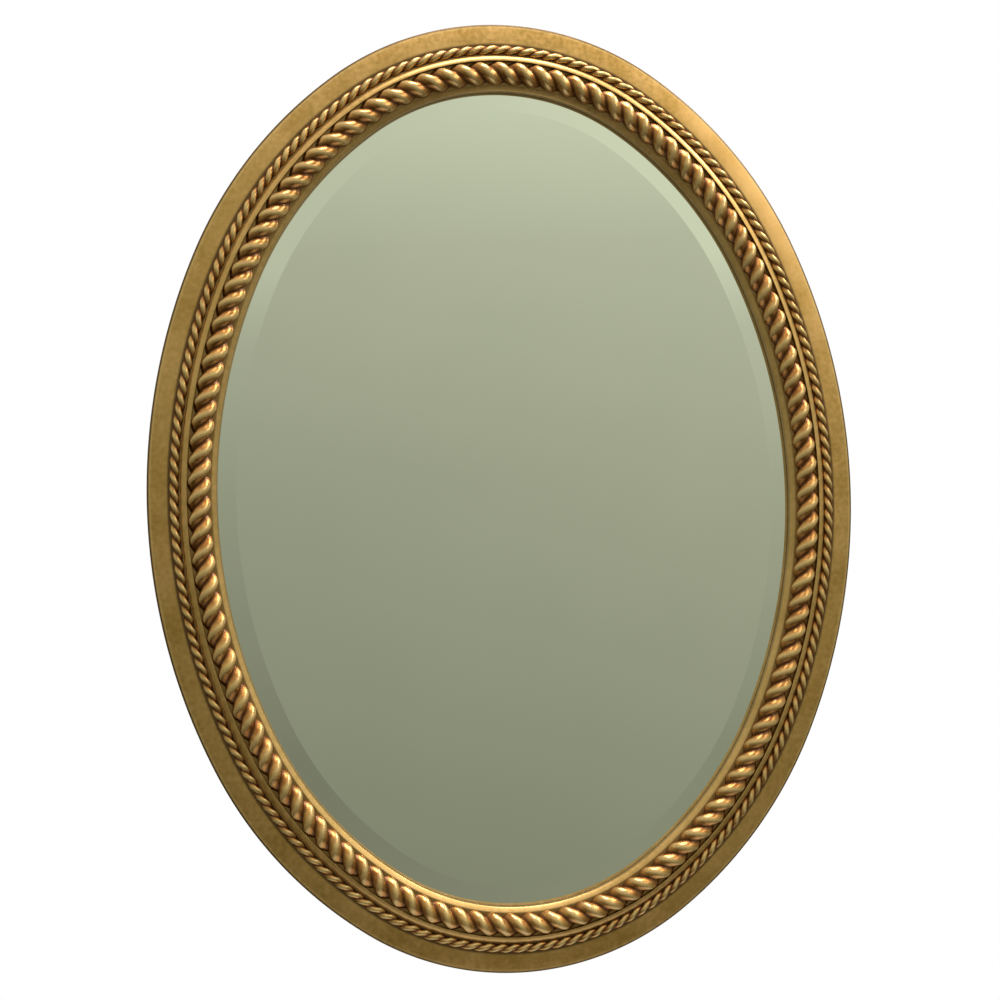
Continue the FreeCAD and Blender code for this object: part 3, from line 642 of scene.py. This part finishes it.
def frame_segment(arc, before):
    """One segment of the frame: its section spun clockwise about the centre of its arc."""
    name, centre, radius, middle, half = arc
    corners = [(radius - inset * MM, 0, height * MM) for inset, height in SECTION]
    piece = trace(f"gilt_frame_{name}", corners)
    edit(piece)
    bpy.ops.mesh.edge_face_add()
    for (inset, height), soft in ARRISES.items():
        spot = Vector((radius - inset * MM, 0, height * MM))
        pick_points(piece, lambda place: (place - spot).length < 5 * NEAR)
        bpy.ops.mesh.bevel(offset=soft * MM, segments=3, affect="VERTICES")
    pick_all()
    steps = round(math.degrees(2 * half) / DEGREES_PER_STEP)
    bpy.ops.mesh.spin(steps=steps, angle=2 * half, center=(0, 0, 0), axis=(0, 0, 1))
    face_outwards()
    segment_maps(piece, radius, before, half)
    smooth(piece, 35)
    dress(piece, "mirror", "gilded_wood", gilt_wood, bare_wood)
    run = piece.data.uv_layers["run"].data
    for face in piece.data.polygons:
        place = sum(run[loop].uv[1] for loop in face.loop_indices) / len(face.loop_indices)
        if place > LEAF_ENDS:
            face.material_index = 1
    settle(piece, Matrix.Translation(centre) @ Matrix.Rotation(middle + half, 4, "Z"))
    hang_up(piece)
    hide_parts(f"frame_{name}")
    return piece


walked = 0.0
for arc in ARCS:
    segment = frame_segment(arc, walked)
    walked += arc.radius * 2 * arc.half
print("last segment:", segment.name, len(segment.data.polygons), "faces")

# %% [markdown]
# ## The ropes
# Each rope is cast in composition from a carved mould of a laid rope, cut flat below. Laid rope is a few
# round strands that twist together. So one pitch is made: one strand's arc is spun about its own centre,
# copied round the rope's axis, swept with a twist by a Screw modifier and cut flat. An Array repeats it
# and a Curve modifier bends it round the oval, which also spreads the strands as the bend does.

# %% The moulds
LENGTHS = ("top_right", "right_upper", "right_lower", "bottom_right",
           "bottom_left", "left_lower", "left_upper", "top_left")
# Pitches round the oval, then the rope's place, then its strands: how far they reach from its axis, their
# own radius, how many, their twist (+1 or -1), how far below the axis they are cut, and the mesh's steps.
Mould = namedtuple("Mould", "pitches inset seat reach strand_reach strands hand below steps finish")
ROPES = {
    "large": Mould(122, 49.5 * MM, 22 * MM, 11.4 * MM, 8.1 * MM, 2, 1, 0.8 * MM, 12, gilt_large_rope),
    "fine": Mould(188, 26 * MM, 20 * MM, 4.8 * MM, 3.4 * MM, 2, -1, 0.0, 9, gilt_fine_rope),
}
# The foot of each strand is painted darker, as shade where it meets the seat: the first number is the foot's
# share of the height, and the second is how much of the height above the groove still counts at the very
# bottom.
FOOT, FOOT_UNSHADED = 0.45, 0.55
for rope, mould in ROPES.items():
    print(rope, "rope, one pitch, mm:", round(girth(mould.inset) / mould.pitches / MM, 2))

# %% One pitch of a rope


def close_ends(piece, ends):
    """Fills the open ends of a piece that runs along X."""
    for end in ends:
        pick_points(piece, lambda place: abs(place.x - end) < NEAR)
        bpy.ops.mesh.edge_face_add()


def rope_pitch(name, mould, pitch):
    """One pitch of a rope along X, cut flat a little below its axis."""
    off = mould.reach - mould.strand_reach
    half_turn = math.pi / mould.strands
    valley = off * math.cos(half_turn) + math.sqrt(mould.strand_reach**2 - (off * math.sin(half_turn)) ** 2)
    corner = Vector((0, valley * math.cos(half_turn), valley * math.sin(half_turn)))
    swing = math.atan2(corner.z, corner.y - off)
    piece = trace(name, [corner])
    edit(piece)
    bpy.ops.mesh.spin(steps=mould.steps, angle=2 * swing, center=(0, off, 0), axis=(1, 0, 0))
    pick_all()
    bpy.ops.mesh.spin(
        steps=mould.strands, angle=2 * math.pi, center=(0, 0, 0), axis=(1, 0, 0), dupli=True
    )
    pick_all()
    bpy.ops.mesh.remove_doubles(threshold=NEAR)
    leave_edit()
    twist = piece.modifiers.new("Twist", "SCREW")
    twist.axis = "X"
    twist.angle = mould.hand * 2 * math.pi / mould.strands
    twist.screw_offset = pitch
    twist.steps = twist.render_steps = mould.steps
    settle(piece)
    edit(piece)
    close_ends(piece, (0, pitch))
    pick_all()
    bpy.ops.mesh.bisect(plane_co=(0, 0, -mould.below), plane_no=(0, 0, 1), clear_inner=True, use_fill=True)
    for end in (0, pitch):
        pick_points(piece, lambda place: abs(place.x - end) < NEAR)
        bpy.ops.mesh.delete(type="ONLY_FACE")
    leave_edit()
    # The crest value is the height above the groove, lowered towards the foot, which paints shade there.
    crest = piece.data.attributes.new("crest", "FLOAT", "POINT")
    for point in piece.data.vertices:
        groove = (math.hypot(point.co.y, point.co.z) - valley) / (mould.reach - valley)
        foot = min(max((point.co.z + mould.below) / (FOOT * mould.reach), 0), 1)
        crest.data[point.index].value = groove * (FOOT_UNSHADED + (1 - FOOT_UNSHADED) * foot)
        point.co.z += mould.below
    return piece


# %% The eight lengths of each rope


def copy_of(piece):
    """A copy of a piece with a mesh of its own."""
    copy = piece.copy()
    copy.data = piece.data.copy()
    bpy.context.scene.collection.objects.link(copy)
    return copy


def lay_rope(rope, mould, pitch):
    """The eight lengths of a rope, each an array of one pitch bent round the oval."""
    path = oval_path(f"{rope}_rope_path", mould.inset)
    one = rope_pitch(f"{rope}_rope_pitch", mould, pitch)
    for index, name in enumerate(LENGTHS):
        first = round(index * mould.pitches / len(LENGTHS))
        last = round((index + 1) * mould.pitches / len(LENGTHS))
        piece = copy_of(one)
        piece.name = piece.data.name = f"gilt_{rope}_rope_{name}"
        select_only(piece)
        repeat = piece.modifiers.new("Strands", "ARRAY")
        repeat.count = last - first
        repeat.use_relative_offset = False
        repeat.use_constant_offset = True
        repeat.constant_offset_displace = (pitch, 0, 0)
        repeat.use_merge_vertices = True
        repeat.merge_threshold = 2 * NEAR
        settle(piece)
        edit(piece)
        close_ends(piece, (0, (last - first) * pitch))
        face_outwards()
        settle(piece, Matrix.Translation((first * pitch, 0, 0)))
        bend = piece.modifiers.new("Round_the_oval", "CURVE")
        bend.object = path
        settle(piece, Matrix.Translation((0, 0, mould.seat)))
        smooth(piece, 40)
        hang_up(piece)
        dress(piece, "mirror", "gilded_composition", mould.finish)
        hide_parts(f"{rope}_rope_{name}")
    bpy.data.objects.remove(one)
    bpy.data.objects.remove(path)
    return piece


for rope, mould in ROPES.items():
    last_length = lay_rope(rope, mould, girth(mould.inset) / mould.pitches)
    print(rope, "rope, last length:", len(last_length.data.polygons), "faces")

# %% [markdown]
# ## The plate
# The plate is 6 mm glass, ground to a 25 mm bevel and polished. A face is filled inside the oval, raised
# to the thickness left at the edge, inset by the bevel's width and raised again.

# %% Cut and bevel the plate
PLATE_INSET, PLATE_BACK = 59.5 * MM, 8 * MM
PLATE_EDGE, BEVEL_DEPTH, BEVEL_WIDTH = 3.5 * MM, 2.5 * MM, 25 * MM


def oval_face(name, inset, resolution):
    """A flat piece that fills the oval at a distance from its outer edge, left open in edit mode."""
    path = oval_path(name, inset)
    path.data.resolution_u = resolution
    select_only(path)
    bpy.ops.object.convert(target="MESH")
    piece = bpy.context.object
    piece.name = piece.data.name = name
    edit(piece)
    bpy.ops.mesh.remove_doubles(threshold=NEAR)
    bpy.ops.mesh.edge_face_add()
    return piece


def bevelled_plate():
    piece = oval_face("bevelled_silvered_plate", PLATE_INSET, 40)
    bpy.ops.mesh.extrude_region_move(TRANSFORM_OT_translate={"value": (0, 0, PLATE_EDGE)})
    bpy.ops.mesh.inset(thickness=BEVEL_WIDTH)
    bpy.ops.transform.translate(value=(0, 0, BEVEL_DEPTH))
    face_outwards()
    # The bevel leans by less than 6 degrees, and its edge must stay sharp.
    smooth(piece, 3.5)
    dress(piece, "mirror", "silvered_glass", silver, grey_paint)
    for face in piece.data.polygons:
        face.material_index = 1 if face.normal.z < -0.5 else 0
    settle(piece, Matrix.Translation((0, 0, PLATE_BACK)))
    hang_up(piece)
    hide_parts("mirror_plate")
    return piece


plate = bevelled_plate()
print("plate, mm:", [round(size / MM, 1) for size in plate.dimensions])

# %% [markdown]
# ## The backboard
# A 4 mm birch plywood board keeps dust and knocks away from the silver. It is an oval like the plate, so
# it is made in the same way, and the edge that hands touch is eased with a small bevel. Its edge shows
# the five plies, and that is a second material on the faces that look sideways.

# %% Cut the backboard
BOARD_INSET, BOARD_EASED = 44.5 * MM, 0.7 * MM


def backboard():
    piece = oval_face("plywood_backboard", BOARD_INSET, 24)
    bpy.ops.mesh.extrude_region_move(TRANSFORM_OT_translate={"value": (0, 0, -BOARD_THICK)})
    pick_points(piece, lambda place: place.z < -BOARD_THICK / 2)
    bpy.ops.mesh.bevel(offset=BOARD_EASED, segments=3, affect="EDGES")
    face_outwards()
    smooth(piece, 40)
    dress(piece, "mirror", "plywood", plywood, plies)
    for face in piece.data.polygons:
        face.material_index = 0 if abs(face.normal.z) > 0.9 else 1
    hang_up(piece)
    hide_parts("backboard")
    return piece


board = backboard()
print("board, mm:", [round(size / MM, 1) for size in board.dimensions])

# %% [markdown]
# ## Screws
# Both kinds of screw are turned, so each is a profile spun a full turn. The slot is milled across the
# head afterwards, and a Boolean with a thin block is the same cut. One of each is made, and its copies
# are turned to different slot angles, because nobody lines them up.

# %% Turn and slot a screw, and set copies
SLOT_WIDE = 0.9 * MM
FIRST_SLOT, NEXT_SLOT = 0.7, 1.9  # radians


def turned(name, profile, steps=24):
    """A solid spun from pairs of radius and height that start and end on the axis."""
    piece = trace(name, [(radius * MM, 0, height * MM) for radius, height in profile])
    edit(piece)
    bpy.ops.mesh.spin(steps=steps, angle=2 * math.pi, center=(0, 0, 0), axis=(0, 0, 1))
    pick_all()
    bpy.ops.mesh.remove_doubles(threshold=NEAR)
    face_outwards()
    return piece


def slotted(name, profile, crest, deep):
    """A turned screw with a slot across its head, which is crest high, in mm."""
    piece = turned(name, profile)
    bpy.ops.object.select_all(action="DESELECT")
    bpy.ops.mesh.primitive_cube_add(size=1, location=(0, 0, (crest - deep + 1) * MM))
    blade = bpy.context.object
    blade.scale = (9 * MM, SLOT_WIDE, 2 * MM)
    settle(blade)
    slot = piece.modifiers.new("Slot", "BOOLEAN")
    slot.operation, slot.solver, slot.object = "DIFFERENCE", "EXACT", blade
    settle(piece)
    bpy.data.objects.remove(blade)
    smooth(piece, 35)
    return piece


def joined(name, pieces):
    """Several pieces made one, under a name."""
    select_only(pieces[0])
    for piece in pieces:
        piece.select_set(True)
    bpy.ops.object.join()
    whole = bpy.context.object
    whole.name = whole.data.name = name
    return whole


def set_copies(name, one, places, lift):
    """Copies of a small part at places on the back, heads to the wall, joined into one piece."""
    copies = []
    for number, spot in enumerate(places):
        piece = copy_of(one)
        slot_turn = Matrix.Rotation(FIRST_SLOT + NEXT_SLOT * number, 4, "Z")
        head_down = Matrix.Rotation(math.pi, 4, "X") @ slot_turn
        settle(piece, Matrix.Translation((spot[0], spot[1], -lift)) @ head_down)
        copies.append(piece)
    bpy.data.objects.remove(one)
    return joined(name, copies)


# %% The board's screws and the straps' screws
# Pairs of radius and height in mm, from the head down to the point.
FLAT_HEAD = [(0, 0), (3.3, 0), (3.5, -0.15), (3.5, -0.4), (1.75, -2.2), (1.75, -12), (0, -15.5)]
ROUND_HEAD = [
    (0, 2.2), (1.2, 2.08), (2.3, 1.66), (3.1, 0.95), (3.5, 0.1), (3.45, 0), (1.75, 0), (1.75, -12), (0, -15.5)
]
BOARD_SCREW_INSET, BOARD_SCREW_LIFT = 51.5 * MM, 4.03 * MM
STRAP_THICK, STRAP_HOLES = 1 * MM, (19.5 * MM, 34.5 * MM)
# The hangers sit on the left and right arcs, this far up and in.
LEFT = ARCS[6]
HANGER_UP, HANGER_INSET = 150 * MM, 23 * MM
HANGER_OUT = math.sqrt((LEFT.radius - HANGER_INSET) ** 2 - HANGER_UP**2) - LEFT.centre.x


def over_arc(arc, inset):
    """The place over the middle of an arc, at a distance in from the outer edge."""
    return arc.centre + pointing(arc.middle) * (arc.radius - inset)


one = slotted("flat_head_screw", FLAT_HEAD, 0, 0.9)
board_spots = [over_arc(arc, BOARD_SCREW_INSET) for arc in ARCS]
board_screws = set_copies("flat_head_board_screws", one, board_spots, BOARD_SCREW_LIFT)
dress(board_screws, "mirror", "brass", brass)
hang_up(board_screws)
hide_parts("board_screws")

one = slotted("round_head_screw", ROUND_HEAD, 2.2, 1.0)
strap_spots = [(side * HANGER_OUT, HANGER_UP - down) for side in (-1, 1) for down in STRAP_HOLES]
strap_screws = set_copies("round_head_strap_screws", one, strap_spots, STRAP_THICK)
dress(strap_screws, "mirror", "plated_steel", nickel)
hang_up(strap_screws)
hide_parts("hanger_screws")
print("screws:", len(board_screws.data.polygons), "and", len(strap_screws.data.polygons), "faces")

# %% [markdown]
# ## Strap hangers and D-rings
# A strap hanger is 1 mm steel strip. Its free end is cut round and its other end is rolled into an eye
# for the ring. So the strip is a face with two rounded corners, extruded, and its end is spun about the
# hinge like the strip round a mandrel. The ring is wire bent on a former: a line with a half-turn bow,
# made a curve and given the wire's thickness. One of each is made, and each side of the mirror gets a copy.

# %% Roll the straps, bend the rings
STRAP_HALF, STRAP_LONG, STRAP_CORNER, STRAP_EASED = 7 * MM, 40 * MM, 6 * MM, 0.18 * MM
EYE_ROLL = math.radians(288)
RING_AXIS, RING_HALF, RING_LEG, RING_CORNER, WIRE = 2.55 * MM, 8.85 * MM, 4 * MM, 1.7 * MM, 1.25 * MM


def rolled_strap():
    ends = (0, -STRAP_LONG, -STRAP_LONG, 0)
    outline = [(x, y, 0) for x, y in zip((-STRAP_HALF, -STRAP_HALF, STRAP_HALF, STRAP_HALF), ends)]
    piece = trace("rolled_strap", outline)
    edit(piece)
    bpy.ops.mesh.edge_face_add()
    pick_points(piece, lambda place: place.y < -STRAP_LONG / 2)
    bpy.ops.mesh.bevel(offset=STRAP_CORNER, segments=8, affect="VERTICES")
    pick_all()
    bpy.ops.mesh.extrude_region_move(TRANSFORM_OT_translate={"value": (0, 0, -STRAP_THICK)})
    # The end face opens, and its outline is spun on into the eye.
    pick_points(piece, lambda place: abs(place.y) < NEAR)
    bpy.ops.mesh.delete(type="ONLY_FACE")
    pick_points(piece, lambda place: abs(place.y) < NEAR)
    bpy.ops.mesh.spin(steps=16, angle=EYE_ROLL, center=(0, 0, -RING_AXIS), axis=(1, 0, 0))
    bpy.ops.mesh.edge_face_add()
    face_outwards()
    edges = piece.modifiers.new("Eased_edges", "BEVEL")
    edges.width, edges.segments, edges.limit_method = STRAP_EASED, 2, "ANGLE"
    edges.angle_limit = math.radians(50)
    settle(piece)
    smooth(piece, 35)
    return piece


def bent_ring():
    piece = trace("bent_wire_ring", [(-RING_HALF, 0, 0), (RING_HALF, 0, 0), (RING_HALF, -RING_LEG, 0)])
    edit(piece)
    pick_points(piece, lambda place: place.y < -RING_LEG / 2)
    bpy.ops.mesh.spin(steps=16, angle=math.pi, center=(0, -RING_LEG, 0), axis=(0, 0, 1))
    pick_all()
    bpy.ops.mesh.edge_face_add()
    pick_points(piece, lambda place: place.y > -NEAR)
    bpy.ops.mesh.bevel(offset=RING_CORNER, segments=5, affect="VERTICES")
    pick_all()
    bpy.ops.mesh.delete(type="ONLY_FACE")
    leave_edit()
    bpy.ops.object.convert(target="CURVE")
    piece = bpy.context.object
    piece.data.bevel_depth, piece.data.bevel_resolution = WIRE, 3
    bpy.ops.object.convert(target="MESH")
    piece = bpy.context.object
    edit(piece)
    face_outwards()
    smooth(piece, 60)
    settle(piece, Matrix.Translation((0, 0, -RING_AXIS)))
    return piece


strap, ring = rolled_strap(), bent_ring()
for name, side in (("left", -1), ("right", 1)):
    for one, body, node in ((strap, "mirror", "hanger_strap"), (ring, f"{name}_ring", "hanger_ring")):
        piece = copy_of(one)
        piece.name = piece.data.name = f"{one.name}_{name}"
        dress(piece, body, "plated_steel", nickel)
        settle(piece, Matrix.Translation((side * HANGER_OUT, HANGER_UP, 0)))
        hang_up(piece)
        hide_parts(f"{node}_{name}")
        print(piece.name, len(piece.data.polygons), "faces")
for one in (strap, ring):
    bpy.data.objects.remove(one)

# %% [markdown]
# ## Felt bumpers
# Two discs punched from felt keep the frame's lower edge off the wall. A punched disc has a soft rim on
# the side that is pressed, so a cylinder is added and its outer rim is rounded with a wide bevel. One disc
# is made, and its two copies are joined.

# %% Punch the bumpers
BUMPER_RADIUS, BUMPER_RIM, BUMPER_INSET = 8 * MM, 1.6 * MM, 23 * MM


def felt_disc():
    bpy.ops.object.select_all(action="DESELECT")
    bpy.ops.mesh.primitive_cylinder_add(
        vertices=36, radius=BUMPER_RADIUS, depth=STANDOFF, location=(0, 0, -STANDOFF / 2)
    )
    piece = bpy.context.object
    settle(piece)
    edit(piece)
    pick_points(piece, lambda place: place.z < -STANDOFF / 2)
    bpy.ops.mesh.inset(thickness=NEAR)
    pick_points(piece, lambda place: place.z < -STANDOFF / 2)
    bpy.ops.mesh.region_to_loop()
    bpy.ops.mesh.bevel(offset=BUMPER_RIM, segments=4, affect="EDGES")
    leave_edit()
    return piece


disc = felt_disc()
pair = []
for arc in ARCS:
    if arc.name.startswith("lower"):
        piece = copy_of(disc)
        settle(piece, Matrix.Translation(over_arc(arc, BUMPER_INSET)))
        pair.append(piece)
bpy.data.objects.remove(disc)
bumpers = joined("punched_felt_bumpers", pair)
smooth(bumpers, 40)
dress(bumpers, "mirror", "felt", felt)
hang_up(bumpers)
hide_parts("wall_bumpers")
print("bumpers:", len(bumpers.data.polygons), "faces")

# %% [markdown]
# ## The camera
# The photo was taken from the left of the mirror and a little above its middle, about 1.65 m away. From
# there an oval frame is seen a little narrower and its right side a little thinner. The place, the turn and
# the lens were worked out from the outer oval and the sight oval in the photo. The camera's axes are built
# from its yaw, pitch and roll, which is easier to read than three Euler angles.

# %% Camera
EYE = Vector((-284.4, -1633.6, 21.6)) * MM
YAW, PITCH, ROLL = math.radians(9.613), math.radians(-0.736), math.radians(-2.243)
SENSOR, FOCAL_LENGTH = 36, 59.4

forward = Vector((math.sin(YAW) * math.cos(PITCH), math.cos(YAW) * math.cos(PITCH), math.sin(PITCH)))
level = Vector((math.cos(YAW), -math.sin(YAW), 0))
upward = level.cross(forward)
right = level * math.cos(ROLL) + upward * math.sin(ROLL)
axes = Matrix((right, right.cross(forward), -forward)).transposed()
lens = bpy.data.cameras.new("Viewpoint")
lens.sensor_width, lens.lens = SENSOR, FOCAL_LENGTH
camera = bpy.data.objects.new("Viewpoint", lens)
bpy.context.scene.collection.objects.link(camera)
camera.matrix_world = Matrix.Translation(EYE) @ axes.to_4x4()
bpy.context.scene.camera = camera
print("camera to the middle of the mirror, mm:", round(EYE.length / MM))

# %% [markdown]
# ## The room and the lamps
# A mirror shows what stands opposite, so the room matters more here than for other objects. Rays from the
# camera see plain white, as in a cut-out photo. All other rays see a soft room: pale sage at eye level,
# darker towards the floor, warm and bright towards the ceiling. So the plate and the gold reflect a room,
# and the background stays white. A wide softbox above is the ceiling light. One high at the right lights
# the slopes that look that way, a weak one lower down gives the strands their gleam, and one behind
# lights the back.

# %% Room
# The room's tones by height, from straight down (0) over eye level (0.5) to straight up (1).
ROOM_TONES = (
    (0.0, "#2A241A"), (0.19, "#5C5642"), (0.25, "#8B8D78"), (0.37, "#868974"), (0.5, "#A3A690"),
    (0.57, "#B7BAA3"), (0.61, "#CDD2B8"), (0.75, "#CFD3BA"), (0.9, "#EFE6D0"), (1.0, "#FFF6E4"),
)
world = bpy.data.worlds.new("Studio")
bpy.context.scene.world = world
world.use_nodes = True
sky = world.node_tree
sky.nodes.clear()
ray = add_node(sky, "LightPath", {})
where = add_node(sky, "TexCoord", {})
toward = add_node(sky, "SeparateXYZ", {"Vector": where.outputs["Generated"]})
up_share = add_node(sky, "MapRange", {"Value": toward.outputs["Z"], 1: -1.0, 2: 1.0})
tone = add_node(sky, "ValToRGB", {0: up_share.outputs[0]})
set_stops(tone, [(place, paint(code)) for place, code in ROOM_TONES])
# The room's window side, on the right, is a little brighter.
side_light = add_node(sky, "MapRange", {"Value": toward.outputs["X"], 1: -0.1, 2: 0.33, 3: 0.87, 4: 1.09})
room = add_node(sky, "Background", {"Color": tone.outputs[0], "Strength": side_light.outputs[0]})
white = add_node(sky, "Background", {"Color": (1, 1, 1, 1), "Strength": 1.0})
either = add_node(
    sky, "MixShader", {0: ray.outputs["Is Camera Ray"], 1: room.outputs[0], 2: white.outputs[0]}
)
add_node(sky, "OutputWorld", {"Surface": either.outputs[0]})
bpy.context.scene.view_settings.view_transform = "Standard"
print("room tones:", len(ROOM_TONES))

# %% Lamps


def lamp(name, place, aim, size, power, colour):
    """A soft rectangular lamp at a place, aimed at another; sizes in metres, power in watts."""
    light = bpy.data.lights.new(name, "AREA")
    light.shape = "RECTANGLE"
    light.size, light.size_y = size
    light.energy = power
    light.color = paint(colour)[:3]
    holder = bpy.data.objects.new(name, light)
    bpy.context.scene.collection.objects.link(holder)
    holder.location = place
    holder.rotation_mode = "QUATERNION"
    holder.rotation_quaternion = (Vector(aim) - Vector(place)).to_track_quat("-Z", "Y")
    print(name, power, "W")


lamp("Ceiling_softbox", (0.3, -0.4, 2.1), (0.05, -0.02, 0.1), (1.3, 0.6), 26, "#FFFAF0")
lamp("Upper_right_softbox", (1.5, -0.3, 1.5), (0.15, -0.03, 0.2), (0.9, 0.5), 14, "#FFF6E6")
lamp("Side_softbox", (1.45, -1.3, 1.0), (0, 0, 0), (0.9, 0.6), 3.0, "#FFF6EA")
lamp("Back_fill", (0.8, 2.2, 1.6), (0, 0, 0), (1.6, 1.2), 30, "#FFF8EE")

# %% [markdown]
# ## The floor
# The floor is a plain pale disc well below the mirror, so that views from above have something to stand
# over. It fades out before its rim, and no edge shows against the white.

# %% Floor
FLOOR, FLOOR_RADIUS, FADE_STARTS, FADE_ENDS = -1.45, 1.25, 0.55, 1.2

bpy.ops.object.select_all(action="DESELECT")
bpy.ops.mesh.primitive_circle_add(vertices=96, radius=FLOOR_RADIUS, fill_type="NGON")
floor = bpy.context.object
floor.name = "Studio_floor"
floor_paint, tree, shader, _ = two_tones("Pale_studio_floor", 60, 3.0, "#CDD0D9", "#D6D9E1")
place = add_node(tree, "TexCoord", {}).outputs["Object"]
flat = add_node(tree, "Mapping", {"Vector": place, "Location": (0, 0, -FLOOR)})
out = add_node(tree, "VectorMath", {"operation": "LENGTH", 0: flat.outputs[0]})
fade = add_node(tree, "MapRange", {"Value": out.outputs["Value"], 1: FADE_STARTS, 2: FADE_ENDS, 3: 1.0, 4: 0.0})
tree.links.new(fade.outputs[0], shader.inputs["Alpha"])
shader.inputs["Roughness"].default_value = 0.9
floor.data.materials.append(floor_paint)
settle(floor, Matrix.Translation((0, 0, FLOOR)))
print("floor at", FLOOR, "m")

# %% [markdown]
# ## Pieces carried over from the frame file
# The glue blocks and the tongues in the joints are plain sawn wood, hidden when the mirror is whole. Their
# shapes are already right, so they keep their meshes and only take the pine finish.

# %% Carried-over pieces
for node in ("glue_blocks", "joint_tongues"):
    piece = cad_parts[node]
    piece.data.materials.clear()
    piece.data.materials.append(block_wood)
    print(node, "takes", block_wood.name)
